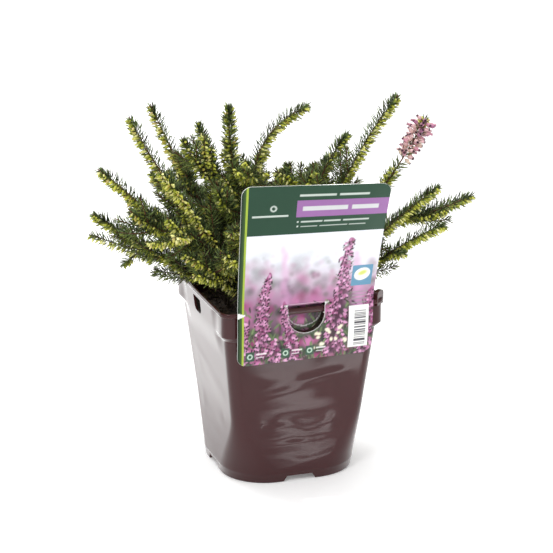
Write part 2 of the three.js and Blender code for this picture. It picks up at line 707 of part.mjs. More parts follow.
const materials = {
  pot: new THREE.MeshStandardMaterial({ color: 0x4e3434, roughness: 0.3, metalness: 0 }),
  soil: new THREE.MeshStandardMaterial({ color: 0x1d1814, roughness: 0.95, metalness: 0 }),
  label: new THREE.MeshStandardMaterial({ color: 0xb77fae, roughness: 0.35, metalness: 0 }),
  dark: new THREE.MeshStandardMaterial({ color: 0x3d4a22, roughness: 0.7, metalness: 0 }),
  lime: new THREE.MeshStandardMaterial({ color: 0x8c9334, roughness: 0.7, metalness: 0 }),
  flower: new THREE.MeshStandardMaterial({ color: 0xc27a9c, roughness: 0.6, metalness: 0 }),
};

function makePlant() {
  const plant = new THREE.Group();
  const addMesh = (name, solid, material) => {
    const mesh = new THREE.Mesh(toGeometry(solid), material);
    mesh.name = name;
    plant.add(mesh);
  };
  addMesh('pot', makePot(), materials.pot);
  addMesh('soil', makeSoil([...STEMS, FLOWER_STEM].map((stem) => stem.root)), materials.soil);
  addMesh('label', makeLabel(), materials.label);
  for (const stem of STEMS) {
    for (const curve of stemCurves(stem)) {
      registerCore(stem.name, curve);
    }
  }
  registerCore(FLOWER_STEM.name, flowerCurve());
  addMesh(FLOWER_STEM.name, makeFlowerStem(), materials.flower);
  STEMS.forEach((stem, i) => {
    addMesh(stem.name, makeStem(stem, 100 + i), i % 3 === 2 ? materials.lime : materials.dark);
  });
  return plant;
}

// The origin lies under the middle of everything's box, on the ground
function centred(group) {
  const box = new THREE.Box3().setFromObject(group, true);
  const middle = box.getCenter(new THREE.Vector3());
  group.position.set(-middle.x, -middle.y, -box.min.z);
  group.updateMatrixWorld(true);
  return group;
}

export default centred(makePlant());
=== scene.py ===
# A winter heath in a square plastic pot, with a picture card hooked over the rim.
# Shapes are worked out in millimetres round the pot's middle, with z up from the ground, and
# become metres in the model's frame when a mesh is made.
import bpy
import math
import numpy as np
from mathutils import Matrix, Vector


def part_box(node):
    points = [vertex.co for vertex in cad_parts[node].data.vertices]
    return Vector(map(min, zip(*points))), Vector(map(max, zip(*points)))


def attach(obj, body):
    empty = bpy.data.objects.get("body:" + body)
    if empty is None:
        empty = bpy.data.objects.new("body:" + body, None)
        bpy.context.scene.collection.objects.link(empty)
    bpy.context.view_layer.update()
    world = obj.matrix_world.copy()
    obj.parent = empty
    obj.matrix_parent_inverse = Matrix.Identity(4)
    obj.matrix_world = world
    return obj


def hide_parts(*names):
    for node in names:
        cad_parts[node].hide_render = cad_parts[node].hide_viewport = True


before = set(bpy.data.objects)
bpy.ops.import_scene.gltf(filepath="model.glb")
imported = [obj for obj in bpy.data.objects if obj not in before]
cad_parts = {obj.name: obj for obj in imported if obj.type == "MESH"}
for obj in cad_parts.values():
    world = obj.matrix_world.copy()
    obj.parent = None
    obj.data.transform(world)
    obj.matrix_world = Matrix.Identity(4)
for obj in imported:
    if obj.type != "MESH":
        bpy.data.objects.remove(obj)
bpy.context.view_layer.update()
pot_low, pot_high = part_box("pot")
POT_CENTRE = np.array([(pot_low.x + pot_high.x) / 2, (pot_low.y + pot_high.y) / 2, 0.0])
MM = 0.001

# Pot
POT_HEIGHT = 141.0
POT_HALF = 64.2
WALL = 1.5
RIM_HALF = 63.7
RIM_HALF_INNER = 61.8
RIM_RADIUS = 9.0
RIM_TALL = 3.2
COLLAR_Z = 117.5
COLLAR_RISE = 4.5
COLLAR_HALF = 62.3
COLLAR_RADIUS = 7.5
NECK_REACH = 57.2
NECK_RADIUS = 8.5
BASE_REACH = 44.2
BASE_RADIUS = 35.0
ROUND_FOOT = 55.0
CORNER_SHARE = 0.21
FLARE = 1.9
FLARE_START = 100.0
FLARE_FULL = 124.0
PAD_START = 32.0
PAD_FULL = 48.0
PLATE_Z = 5.0
FLOOR_Z = 6.8
FOOT_RECESS_RADIUS = 41.0
NOTCH_WIDE = 27.0
NOTCH_NARROW = 20.0
NOTCH_TALL = 4.6
DRAIN_HOLES = 6
DRAIN_RING = 27.0
DRAIN_RADIUS = 4.5
SLOT_TOP = 136.2
SLOT_TALL = 14.5
SLOT_ROUND = 3.0
SLOT_WIDE = 29.0
SIDE_SLOT_TOP = 134.5
SIDE_SLOT_TALL = 12.0
SIDE_SLOT_ROUND = 5.0
SIDE_SLOT_WIDE = 17.0
SIDE_SLOT_BACK = 5.0
LUG_HALF = 5.5
LUG_LOW = 136.0
LUG_TOP = 146.8
LUG_ROUND = 3.5
LUG_THICK = 3.4

# Soil
SOIL_TOP = 120.4
CRUMBS = 900

# Card
CARD_WIDE = 105.0
CARD_TOP = 240.0
CARD_BOTTOM = 100.5
CARD_X = -0.4
CARD_THICK = 0.8
CARD_CORNER = 7.0
CARD_FRONT = -65.9
CARD_BEND_Z = 144.0
CARD_LEAN = (12.0, 34.7)
CARD_TUCK = (1.6, 4.4)
TONGUE_HALF = 14.2
TONGUE_BOTTOM = 121.8
SLIT_HALF = 27.5
SLIT_TALL = 0.7
TONGUE_Y = -59.4
SHOULDER = 3.0
TONGUE_START = 3.4
TONGUE_COLUMNS = 48
LEFT = CARD_X - CARD_WIDE / 2
RIGHT = CARD_X + CARD_WIDE / 2
CELL = 0.57
BACK_CELL = 1.2

# Print on the card, how far it stands out from the face, and where its fields begin and end
PRINT_OUT = 0.02
HEAD_LOW = CARD_TOP - 38.2
TITLE_LEFT = LEFT + 39.5
TITLE_LOW = CARD_TOP - 24.9
TITLE_TOP = CARD_TOP - 11.7
BAND_EDGE = LEFT + 3.3
STRIPE_EDGE = LEFT + 4.8
PANEL_LEFT = RIGHT - 19
PANEL_RIGHT = RIGHT - 3.4
PANEL_LOW = 106.2
PANEL_TOP = 139.3
BARS_LEFT = RIGHT - 14.5
BARS_RIGHT = RIGHT - 5.5
BADGE_LOW = 155.5
BADGE_TOP = 172.5
SOFT_BLOTS = 420
LEAF_BLOTS = 260
PALE_BLOTS = 16

# Upright spikes in the picture: place across, foot, top, lean and width
FAR_SPIKES = ((-14, 120, 192, -0.1, 5.0), (44, 120, 184, -0.16, 6.0))
SPIKES = ((-37, 104, 171, 0.1, 6.0), (-11, 101, 146, -0.12, 5.5), (22, 104, 196, 0.08, 9.0),
          (45, 101, 152, 0.12, 6.0), (-49, 101, 134, 0.05, 5.0), (-24, 101, 119, -0.1, 6.0))

# Pale rules in the head: place from the left edge, length, drop from the top, thickness
RULES = ((41, 26, 8.6, 1.9), (69, 21, 8.6, 1.9), (44, 32, 19.9, 3.2), (79, 19, 19.9, 3.2),
         (43.5, 15, 29.0, 0.9), (60, 12, 29.0, 0.9), (73.5, 19, 29.0, 0.9),
         (43.5, 12, 32.8, 0.9), (57, 20, 32.8, 0.9), (78.5, 12, 32.8, 0.9), (8, 26, 24.0, 1.4))

# Foliage
NEEDLE_LENGTH = 9.4
NEEDLE_WIDTH = 0.4
WHORL_STEP = 1.25
PER_WHORL = 4
BUD_LENGTH = 6.2
BUD_WIDTH = 0.9
BUD_STEP = 2.8
BUD_ROWS = (-66, -24, 18, 60)
STEM_RADIUS = 1.2
TWIG_RADIUS = 0.85
FOOT_TOP = 130.0

# Each stem's root as (x, y), and its shoots, each as its tip, its knee, the length that bears
# needles, and the share of the first shoot at which it forks off
STEMS = {
    "left_high": ((-17, 4), ((-108, 21, 273), (-88, 18, 226), 80, 0),
        ((-88, 38, 226), (-74, 26, 206), 30, 0.55)),
    "left_rear": ((-13, 12), ((-84, 49, 275), (-68, 39, 228), 80, 0),
        ((-62, 68, 232), (-47, 53, 195), 42, 0.4)),
    "left_low": ((-27, 3), ((-133, 19, 236), (-95, 13, 203), 104, 0),
        ((-114, 1, 207), (-87, 2, 184), 40, 0.45)),
    "left_lowest": ((-36, 10), ((-134, 36, 197), (-96, 24, 172), 98, 0)),
    "trailing": ((-34, 24), ((-124, 89, 166), (-78, 58, 152), 60, 0),
        ((-104, 72, 143), (-95, 68, 151), 24, 0.62)),
    "yellow_front": ((-22, -7), ((-97, -20, 241), (-68, -10, 205), 104, 0),
        ((-93, -24, 207), (-76, -18, 182), 34, 0.45)),
    "left_upright": ((-9, 2), ((-54, 25, 264), (-46, 17, 225), 92, 0),
        ((-73, 3, 258), (-58, 5, 230), 44, 0.5)),
    "upright": ((-6, -2.5), ((-36, 6, 280), (-38, 5, 220), 84, 0),
        ((-52, -14, 222), (-44, -10, 202), 30, 0.4)),
    "arching": ((0, 2), ((26, 2, 276), (-46, 12, 250), 92, 0), ((-30, -14, 243), (-20, -12, 222), 30, 0.45)),
    "right_high": ((12, -4), ((88, -19, 284), (47, -8, 228), 92, 0),
        ((20, -20, 232), (16, -18, 208), 26, 0.4)),
    "right_upright": ((3, 8), ((61, 12, 249), (36, 12, 228), 56, 0), ((12, 14, 230), (9, 11, 204), 34, 0.4)),
    "right_middle": ((22, -12), ((114, -40, 217), (86, -29, 194), 60, 0),
        ((146, -32, 205), (106, -26, 192), 64, 0.55)),
    "right_low": ((30, -20), ((114, -55, 191), (84, -43, 180), 66, 0),
        ((84, -52, 171), (68, -42, 168), 24, 0.5)),
    "front_left": ((-27, -16), ((-81, -22, 178), (-60, -26, 168), 60, 0),
        ((-58, -52, 184), (-46, -42, 172), 30, 0.5)),
    "front_nodding": ((-15, -19), ((-53, -50, 196), (-44, -36, 212), 62, 0),
        ((-30, -44, 214), (-26, -36, 196), 36, 0.45)),
    "front": ((1, -20), ((-6, -46, 207), (-4, -40, 180), 46, 0), ((24, -54, 200), (16, -42, 176), 42, 0.35)),
    "front_right": ((16, -25), ((60, -52, 205), (46, -42, 176), 54, 0)),
    "rear_left": ((-20, 27), ((-62, 105, 205), (-50, 78, 178), 66, 0),
        ((-94, 84, 192), (-66, 64, 172), 44, 0.45)),
    "rear": ((-4, 28), ((-25, 115, 188), (-20, 78, 172), 64, 0), ((8, 120, 200), (2, 84, 178), 56, 0.4)),
    "rear_middle": ((3, 17), ((38, 112, 186), (28, 74, 176), 60, 0),
        ((23, 54, 215), (14, 38, 192), 40, 0.35)),
    "rear_right": ((16, 20), ((58, 92, 205), (44, 66, 180), 62, 0), ((56, 44, 225), (38, 34, 200), 44, 0.4)),
    "right_rear": ((26, 12), ((88, 86, 190), (64, 60, 172), 60, 0),
        ((102, 56, 185), (76, 40, 170), 50, 0.45)),
    "right": ((30, 12), ((123, 26, 181), (90, 22, 174), 66, 0)),
    "centre_rear": ((-4, 9), ((-19, 70, 238), (-15, 42, 208), 66, 0)),
}
FLOWER_STEM = ((20, -3), (115.5, -8, 263), (97, -10, 226))
BLOOM_LENGTH = 36.0
BELLS = 80

# How densely a stem bears needles and buds, how warm the colour of its buds is, how far its buds
# spread round it, and up to which share of a shoot it bears side twigs
PLAIN_HABIT = (1.0, 1.2, 0.2, 1.3, 0.7)
REAR_HABIT = (1.0, 0.7, 0.2, 1.3, 0.7)
HABITS = {
    "left_high": (0.9, 1.1, 0.5, 1.0, 0.62),
    "left_rear": (0.85, 1.1, 0.6, 1.2, 0.62),
    "left_low": (1.1, 1.1, 0.2, 1.2, 0.62),
    "left_lowest": (1.5, 1.5, 0.1, 1.4, 0.75),
    "trailing": (0.6, 0.6, 0.0, 0.8, 0.25),
    "yellow_front": (0.8, 1.7, 0.35, 1.5, 0.5),
    "left_upright": (1.3, 0.7, 0.2, 1.6, 0.7),
    "upright": (1.9, 0.8, 0.1, 2.6, 0.7),
    "arching": (1.0, 1.2, 0.1, 1.0, 0.6),
    "right_high": (1.2, 1.3, 0.0, 1.2, 0.6),
    "right_upright": (1.5, 1.2, 0.1, 1.5, 0.7),
    "right_middle": (1.1, 1.4, 0.0, 1.1, 0.38),
    "right_low": (1.1, 1.5, 0.0, 1.1, 0.34),
    "right": (1.1, 1.2, 0.1, 1.1, 0.5),
    "right_rear": (1.0, 0.8, 0.1, 1.1, 0.42),
    "rear": REAR_HABIT,
    "rear_left": REAR_HABIT,
    "rear_right": REAR_HABIT,
}


# Small helpers

def unit(v):
    return v / np.maximum(np.linalg.norm(v, axis=-1, keepdims=True), 1e-9)


def mix(a, b, t):
    return a + (b - a) * t


def smooth(low, high, v):
    t = np.clip((v - low) / (high - low), 0, 1)
    return t * t * (3 - 2 * t)


def linear(red, green, blue):
    """The linear colour of a screen colour given from 0 to 255."""
    srgb = np.array([red, green, blue]) / 255
    return np.where(srgb <= 0.04045, srgb / 12.92, ((srgb + 0.055) / 1.055) ** 2.4)


def new_mesh(name, points, groups):
    """A mesh from points in millimetres and arrays of faces, each array of one face size."""
    groups = [np.asarray(group) for group in groups if len(group)]
    corners = np.concatenate([group.ravel() for group in groups]).astype(np.int32)
    sizes = np.concatenate([np.full(len(group), group.shape[1]) for group in groups])
    starts = np.concatenate([[0], np.cumsum(sizes)[:-1]]).astype(np.int32)
    mesh = bpy.data.meshes.new(name)
    mesh.vertices.add(len(points))
    place = np.asarray(points) * MM + POT_CENTRE
    mesh.vertices.foreach_set("co", place.astype(np.float32).ravel())
    mesh.loops.add(len(corners))
    mesh.loops.foreach_set("vertex_index", corners)
    mesh.polygons.add(len(sizes))
    mesh.polygons.foreach_set("loop_start", starts)
    mesh.update(calc_edges=True)
    mesh.validate()
    mesh.shade_smooth()
    return mesh


def new_object(name, mesh):
    piece = bpy.data.objects.new(name, mesh)
    bpy.context.scene.collection.objects.link(piece)
    return piece


def place_piece(piece, material, slot, *nodes):
    piece.data.materials.clear()
    piece.data.materials.append(material)
    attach(piece, "root")
    if nodes:
        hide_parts(*nodes)


def place_tinted(name, points, groups, colours, material, slot, *nodes, domain="POINT", sharp=0):
    """A piece with a colour for each of its points, or for each corner of its faces. Edges that
    turn by more than the sharp angle, in degrees, stay sharp."""
    mesh = new_mesh(name, points, groups)
    layer = mesh.color_attributes.new(name="tint", type="FLOAT_COLOR", domain=domain)
    rgba = np.ones((len(colours), 4), np.float32)
    rgba[:, :3] = colours
    layer.data.foreach_set("color", rgba.ravel())
    if sharp:
        mesh.set_sharp_from_angle(angle=math.radians(sharp))
    place_piece(new_object(name, mesh), material, slot, *nodes)


def joined(parts):
    """Meshes as (points, faces) pairs made into one pair."""
    firsts = np.cumsum([0] + [len(points) for points, _ in parts])
    faces = [faces + first for (_, faces), first in zip(parts, firsts)]
    return np.concatenate([points for points, _ in parts]), np.concatenate(faces)


def circle(sides):
    """The directions of a circle's corners, as cosines and sines."""
    a = np.arange(sides) / sides * 2 * math.pi
    return np.cos(a), np.sin(a)


# Materials

def new_material(name):
    material = bpy.data.materials.new(name)
    material.use_nodes = True
    tree = material.node_tree
    return material, tree, tree.nodes["Principled BSDF"]


def add_noise(tree, scale, detail=3.0):
    coords = tree.nodes.new("ShaderNodeTexCoord")
    noise = tree.nodes.new("ShaderNodeTexNoise")
    noise.inputs["Scale"].default_value = scale
    noise.inputs["Detail"].default_value = detail
    tree.links.new(coords.outputs["Object"], noise.inputs["Vector"])
    return noise.outputs["Fac"]


def add_range(tree, value, low, high):
    span = tree.nodes.new("ShaderNodeMapRange")
    span.inputs["To Min"].default_value = low
    span.inputs["To Max"].default_value = high
    tree.links.new(value, span.inputs["Value"])
    return span.outputs["Result"]


def add_ramp(tree, value, low, dark, high, pale):
    """A colour that goes from dark to pale as a value goes from low to high."""
    ramp = tree.nodes.new("ShaderNodeValToRGB")
    for element, place, colour in zip(ramp.color_ramp.elements, (low, high), (dark, pale)):
        element.position = place
        element.color = (*linear(*colour), 1)
    tree.links.new(value, ramp.inputs["Fac"])
    return ramp.outputs["Color"]


def add_bump(tree, shader, value, distance, strength=0.5):
    bump = tree.nodes.new("ShaderNodeBump")
    bump.inputs["Distance"].default_value = distance
    bump.inputs["Strength"].default_value = strength
    tree.links.new(value, bump.inputs["Height"])
    tree.links.new(bump.outputs["Normal"], shader.inputs["Normal"])


def tinted_material(name, scale, shades, roughness, bump, ior, sheen=0.0, detail=3.0, strength=0.5):
    """Takes its colour from the mesh's tint, varied by a noise, with a fine relief."""
    material, tree, shader = new_material(name)
    tint = tree.nodes.new("ShaderNodeVertexColor")
    tint.layer_name = "tint"
    noise = add_noise(tree, scale, detail)
    scaled = tree.nodes.new("ShaderNodeVectorMath")
    scaled.operation = "SCALE"
    tree.links.new(tint.outputs["Color"], scaled.inputs[0])
    tree.links.new(add_range(tree, noise, *shades), scaled.inputs["Scale"])
    tree.links.new(scaled.outputs["Vector"], shader.inputs["Base Color"])
    tree.links.new(add_range(tree, noise, *roughness), shader.inputs["Roughness"])
    shader.inputs["IOR"].default_value = ior
    shader.inputs["Sheen Weight"].default_value = sheen
    add_bump(tree, shader, noise, bump, strength)
    return material


def pot_material():
    """Glossy dark brown-red plastic, slightly duller and dustier in patches."""
    material, tree, shader = new_material("pot plastic")
    broad = add_noise(tree, 14.0, 1.0)
    colour = add_ramp(tree, broad, 0.3, (58, 25, 27), 0.75, (62, 28, 30))
    tree.links.new(colour, shader.inputs["Base Color"])
    tree.links.new(add_range(tree, broad, 0.27, 0.29), shader.inputs["Roughness"])
    shader.inputs["IOR"].default_value = 1.15
    shader.inputs["Coat Weight"].default_value = 1.0
    shader.inputs["Coat IOR"].default_value = 1.34
    shader.inputs["Coat Roughness"].default_value = 0.07
    add_bump(tree, shader, add_noise(tree, 900.0, 2.0), 0.00004, 0.4)
    return material


def soil_material():
    """Nearly black moist peat with paler fibres and crumbs."""
    material, tree, shader = new_material("peat")
    noise = add_noise(tree, 420.0, 6.0)
    colour = add_ramp(tree, noise, 0.35, (22, 17, 14), 0.78, (84, 66, 50))
    tree.links.new(colour, shader.inputs["Base Color"])
    shader.inputs["Roughness"].default_value = 0.95
    add_bump(tree, shader, noise, 0.0006, 0.8)
    return material


def card_material(name, roughness):
    span = (roughness - 0.05, roughness + 0.05)
    return tinted_material(name, 260.0, (0.97, 1.03), span, 0.00002, 1.35, detail=2.0, strength=0.3)


# Pot

# Bulges of a wall's face: place across and up, half width and height, lean, and rise
WALL_BULGES = (
    (-12, 72, 22, 6.5, 0.14, 1.0), (16, 83, 17, 3.4, 0.14, 0.6), (28, 76, 6, 9.0, -0.5, 0.5),
    (-19, 43, 12, 5.5, 0.05, 0.8), (-25, 48, 5, 4.0, 0.3, -0.6), (26, 45, 6, 8.0, -0.5, 0.8),
    (-2, 30, 20, 3.2, 0.1, 0.3), (2, 13, 20, 6.0, 0.2, 0.55), (0, 58, 26, 5.0, 0.0, -0.5))


def square_ring(half, flat, steps=41, arc=14):
    """The outline of a square with round corners, as points, counter-clockwise."""
    a = np.arange(1, arc) / arc * math.pi / 2
    side = np.c_[np.full(steps, half), np.linspace(-1, 1, steps) * flat]
    corner = flat + (half - flat) * np.c_[np.cos(a), np.sin(a)]
    quarter = np.concatenate([side, corner])
    return np.concatenate([turned(quarter, k * math.pi / 2) for k in range(4)])


def turned(pairs, angle):
    """Points of a plane, turned round its origin."""
    c, s = math.cos(angle), math.sin(angle)
    return np.c_[pairs[:, 0] * c - pairs[:, 1] * s, pairs[:, 0] * s + pairs[:, 1] * c]


def wall_radius(z):
    """The radius of the wall's corners, large at the foot and small above it."""
    return mix(BASE_RADIUS, NECK_RADIUS, smooth(0, ROUND_FOOT, z))


def wall_half(z):
    """Half the wall's width. A round corner, seen from the front left, falls short of a sharp one
    by a share of its radius, and is moved out by as much."""
    return mix(BASE_REACH, NECK_REACH, z / COLLAR_Z) + CORNER_SHARE * wall_radius(z)


def wall_ring(z, inset=0.0):
    """The wall's outline. The middle of each side flares a little to the rim."""
    half, flat = wall_half(z), wall_half(z) - wall_radius(z)
    plain = square_ring(half - inset, flat)
    flared = square_ring(half - inset + FLARE * smooth(FLARE_START, FLARE_FULL, z), flat)
    along = np.min(np.abs(plain), axis=1)
    return mix(flared, plain, smooth(PAD_START, PAD_FULL, along)[:, None])


def collar_ring(z, share=1.0):
    """The wall, bulged out into a pad at each corner."""
    wall = wall_ring(z)
    pad = square_ring(COLLAR_HALF, COLLAR_HALF - COLLAR_RADIUS)
    along = np.min(np.abs(wall), axis=1)
    weight = smooth(PAD_START, PAD_FULL, along)[:, None] * share
    return mix(wall, pad, weight)


def bulge_rise(across, up, bulge):
    """The rise of one soft oval bulge over a wall's face."""
    x, z, half_wide, half_tall, lean, height = bulge
    dx, dz = across - x, up - z
    a = (dx * math.cos(lean) + dz * math.sin(lean)) / half_wide
    b = (-dx * math.sin(lean) + dz * math.cos(lean)) / half_tall
    return height * np.exp(-a * a - b * b)


# The sides as sign, axis, the other axis, and how strongly the waves show on each
WAVY_SIDES = ((-1, 1, 0, 1.0), (1, 1, 0, 0.5), (-1, 0, 1, 0.25), (1, 0, 1, 0.5))


def dented(points):
    """Soft waves in the thin walls, strongest low on the side with the card."""
    z = points[:, 2].copy()
    half = wall_half(z)
    fade = smooth(3, 12, z) * (1 - smooth(100, 114, z))
    for sign, axis, other, strength in WAVY_SIDES:
        across = points[:, other]
        on_face = smooth(-9, -1, points[:, axis] * sign - half)
        on_face *= 1 - smooth(0.5, 0.85, np.abs(across) / half)
        bent = z + 2.6 * np.sin(across / 12 + 1) + 1.2 * np.sin(across / 5)
        rise = sum(bulge_rise(across, z, bulge) for bulge in WALL_BULGES)
        rise += 0.1 * np.sin(bent / 2.1) * smooth(12, 22, z) * (1 - smooth(40, 52, z))
        rise += 0.12 * np.sin(bent / 3.4 + 2) * smooth(50, 66, z)
        points[:, axis] += sign * strength * fade * on_face * rise
    return points


def loft(name, rings, shape=None):
    """A closed skin over rings of equal count, given as (z, outline)."""
    count = len(rings[0][1])
    points = np.concatenate([np.c_[ring, np.full(count, z)] for z, ring in rings])
    points = np.concatenate([points, [[0, 0, rings[0][0]]], [[0, 0, rings[-1][0]]]])
    here = np.arange(count)
    after = (here + 1) % count
    band = np.c_[here, after, after + count, here + count]
    quads = np.concatenate([band + k * count for k in range(len(rings) - 1)])
    last = (len(rings) - 1) * count
    bottom = np.c_[after, here, np.full(count, last + count)]
    top = np.c_[here + last, after + last, np.full(count, last + count + 1)]
    if shape:
        points = shape(points)
    return new_object(name, new_mesh(name, points, [quads, bottom, top]))


def bar_between(name, start, end):
    """A straight bar between two outlines of equal count, with flat ends."""
    n = len(start)
    here = np.arange(n)
    after = (here + 1) % n
    faces = [np.c_[here, after, after + n, here + n], here[::-1][None], (here + n)[None]]
    return new_object(name, new_mesh(name, np.concatenate([start, end]), faces))


def prism(name, outline, low, high, turn=0.0):
    """A prism over an outline of (across, up) pairs, counter-clockwise, along y from low to high."""
    across, up = np.array(outline, float).T
    back, front = (np.c_[turned(np.c_[across, np.full(len(up), y)], turn), up] for y in (high, low))
    return bar_between(name, back, front)


def cylinder(name, x, y, radius, low, high, sides=48):
    c, s = circle(sides)
    start, end = (np.c_[x + radius * c, y + radius * s, np.full(sides, z)] for z in (low, high))
    return bar_between(name, start, end)


def carve(piece, cutters, operation="DIFFERENCE"):
    for cutter in cutters:
        modifier = piece.modifiers.new("cut", "BOOLEAN")
        modifier.operation = operation
        modifier.solver = "EXACT"
        modifier.object = cutter
    depsgraph = bpy.context.evaluated_depsgraph_get()
    carved = bpy.data.meshes.new_from_object(piece.evaluated_get(depsgraph))
    piece.modifiers.clear()
    piece.data = carved
    for cutter in cutters:
        bpy.data.objects.remove(cutter)


def slot_outline(wide, top, tall, radius, shift):
    half = wide / 2
    low = top - tall
    outline = [(half, top), (-half, top)]
    for centre, start in ((-half + radius, math.pi), (half - radius, 1.5 * math.pi)):
        for a in np.linspace(start, start + math.pi / 2, 9):
            outline.append((centre + radius * math.cos(a), low + radius + radius * math.sin(a)))
    return np.array(outline) + (shift, 0)


def pot_rings():
    """The outside from the foot to the rim: the wall, the collar with its pads, and the bead."""
    rim_low = POT_HEIGHT - RIM_TALL
    rings = [(z, wall_ring(z, inset))
             for z, inset in ((0, 0.8), (0.5, 0.2), (1.2, 0), (6.4, 0), (6.9, -0.25))]
    rings += [(z, wall_ring(z, -0.25 * (1 - smooth(7, 14, z)))) for z in np.linspace(8, COLLAR_Z, 72)]
    for share in (0.1, 0.3, 0.5, 0.7, 0.9, 1):
        z = COLLAR_Z + COLLAR_RISE * share
        rings.append((z, collar_ring(z, share)))
    rings += [(z, collar_ring(z)) for z in np.linspace(COLLAR_Z + COLLAR_RISE + 1.5, rim_low - 0.4, 9)]
    for rise, inset in ((0, 0.5), (0.25, 0.12), (0.6, 0), (1.35, 0), (1.5, 0.22), (1.8, 0.22),
                        (1.95, 0.05), (2.6, 0.1), (2.95, 0.3), (3.2, 0.75)):
        rings.append((rim_low + rise, square_ring(RIM_HALF - inset, RIM_HALF - RIM_RADIUS)))
    return rings


def cavity_rings():
    rim_low = POT_HEIGHT - RIM_TALL
    rings = [(z, wall_ring(z, WALL)) for z in np.linspace(FLOOR_Z, rim_low, 30)]
    for rise, out in ((0.9, -0.1), (2.4, 0), (2.9, 0.15), (3.2, 0.5), (5, 0.6)):
        rings.append((rim_low + rise, square_ring(RIM_HALF_INNER + out, RIM_HALF - RIM_RADIUS)))
    return rings


def slot_cutters():
    """One slot in each wall, the front one first, the side ones smaller and behind the middle."""
    wide = slot_outline(SLOT_WIDE, SLOT_TOP, SLOT_TALL, SLOT_ROUND, 0)
    right, left = (slot_outline(SIDE_SLOT_WIDE, SIDE_SLOT_TOP, SIDE_SLOT_TALL, SIDE_SLOT_ROUND, back)
                   for back in (SIDE_SLOT_BACK, -SIDE_SLOT_BACK))
    return [prism("slot", outline, -POT_HALF - 7, -POT_HALF + 9, side * math.pi / 2)
            for side, outline in enumerate((wide, right, wide, left))]


def make_pot():
    pot = loft("pot_body", pot_rings(), dented)
    cutters = [loft("cavity", cavity_rings(), dented)]
    cutters.append(cylinder("recess", 0, 0, FOOT_RECESS_RADIUS, -1, PLATE_Z, 96))
    trapezoid = [(-NOTCH_WIDE / 2, -1), (NOTCH_WIDE / 2, -1), (NOTCH_NARROW / 2, NOTCH_TALL),
                 (-NOTCH_NARROW / 2, NOTCH_TALL)]
    for turn in (0, math.pi / 2):
        cutters.append(prism("notch", trapezoid, -2 * POT_HALF, 2 * POT_HALF, turn))
    for c, s in zip(*circle(DRAIN_HOLES)):
        cutters.append(cylinder("drain", DRAIN_RING * c, DRAIN_RING * s, DRAIN_RADIUS, 0, FLOOR_Z + 1, 32))
    carve(pot, cutters + slot_cutters())
    carve(pot, [make_lug()], "UNION")
    pot.data.shade_smooth()
    pot.data.set_sharp_from_angle(angle=math.radians(38))
    place_piece(pot, pot_material(), "pot_plastic", "pot")


def make_lug():
    """The small lug on the rim's corner to the right of the card, with a rounded upper end."""
    reach = (RIM_HALF - RIM_RADIUS) * math.sqrt(2) + RIM_RADIUS - 3.0
    outline = [(-LUG_HALF, LUG_LOW), (LUG_HALF, LUG_LOW)]
    for side, start in ((1, 0), (-1, math.pi / 2)):
        for a in np.linspace(start, start + math.pi / 2, 7):
            outline.append((side * (LUG_HALF - LUG_ROUND) + LUG_ROUND * math.cos(a),
                            LUG_TOP - LUG_ROUND + LUG_ROUND * math.sin(a)))
    return prism("lug", outline, -reach - LUG_THICK / 2, -reach + LUG_THICK / 2, math.pi / 4)


# Soil

def make_soil(rng):
    """A crumbly bed with loose granules on top."""
    inset = WALL + 0.4
    rings = [(z, wall_ring(z, inset)) for z in (FLOOR_Z + 0.5, 40, 80, SOIL_TOP - 1)]
    rings += [(SOIL_TOP, wall_ring(SOIL_TOP, inset) * share) for share in np.linspace(0.98, 0.02, 26)]

    def crumbled(points):
        x, y, z = points.T
        on_top = z > SOIL_TOP - 0.5
        waves = 0.8 * np.sin(x / 7) * np.sin(y / 9 + 1)
        z[on_top] += (waves + rng.uniform(-0.6, 0.6, len(x)))[on_top]
        return points

    place_piece(loft("soil_bed", rings, crumbled), soil_material(), "soil", "soil")
    make_crumbs(rng, wall_half(SOIL_TOP) - inset)


def make_crumbs(rng, half):
    spot = rng.uniform(-1, 1, (CRUMBS * 2, 2)) * (half - 2)
    inside = np.hypot(*np.maximum(np.abs(spot) - 40, 0).T) < half - 43
    spot = spot[inside][:CRUMBS]
    count = len(spot)
    origins = np.c_[spot, np.full(count, SOIL_TOP + 0.4)]
    xs = unit(rng.normal(size=(count, 3)))
    ys = unit(np.cross(xs, rng.normal(size=(count, 3))))
    zs = np.cross(xs, ys)
    size = rng.uniform(0.4, 1.5, (count, 1)) ** 1.3
    squash = rng.uniform(0.5, 1.0, (count, 1))
    points, tris = scatter(ball_template(5, 3), origins, xs * size, ys * size * squash, zs * size * 0.8)
    mesh = new_mesh("soil_crumbs", points, [tris])
    mesh.shade_flat()
    place_piece(new_object("soil_crumbs", mesh), soil_material(), "soil")


# Templates that are repeated

def spindle(profile, sides):
    """A spindle along x from pairs of place and radius, the last of which is its pointed end."""
    c, s = circle(sides)
    rings = [np.c_[np.full(sides, x), radius * c, radius * s] for x, radius in profile[:-1]]
    points = np.concatenate([*rings, [(profile[-1][0], 0, 0)]])
    here = np.arange(sides)
    after = (here + 1) % sides
    band = np.c_[here, after, after + sides, here, after + sides, here + sides].reshape(-1, 3)
    last = (len(profile) - 2) * sides
    bands = [band + first for first in range(0, last, sides)]
    end = np.c_[here + last, after + last, np.full(sides, len(points) - 1)]
    return points, np.concatenate([*bands, end])


def ball_template(sides, rows):
    a = math.pi * (np.arange(rows + 1) + 0.35) / (rows + 0.7)
    return spindle([*zip(-np.cos(a), np.sin(a)), (1, 0)], sides)


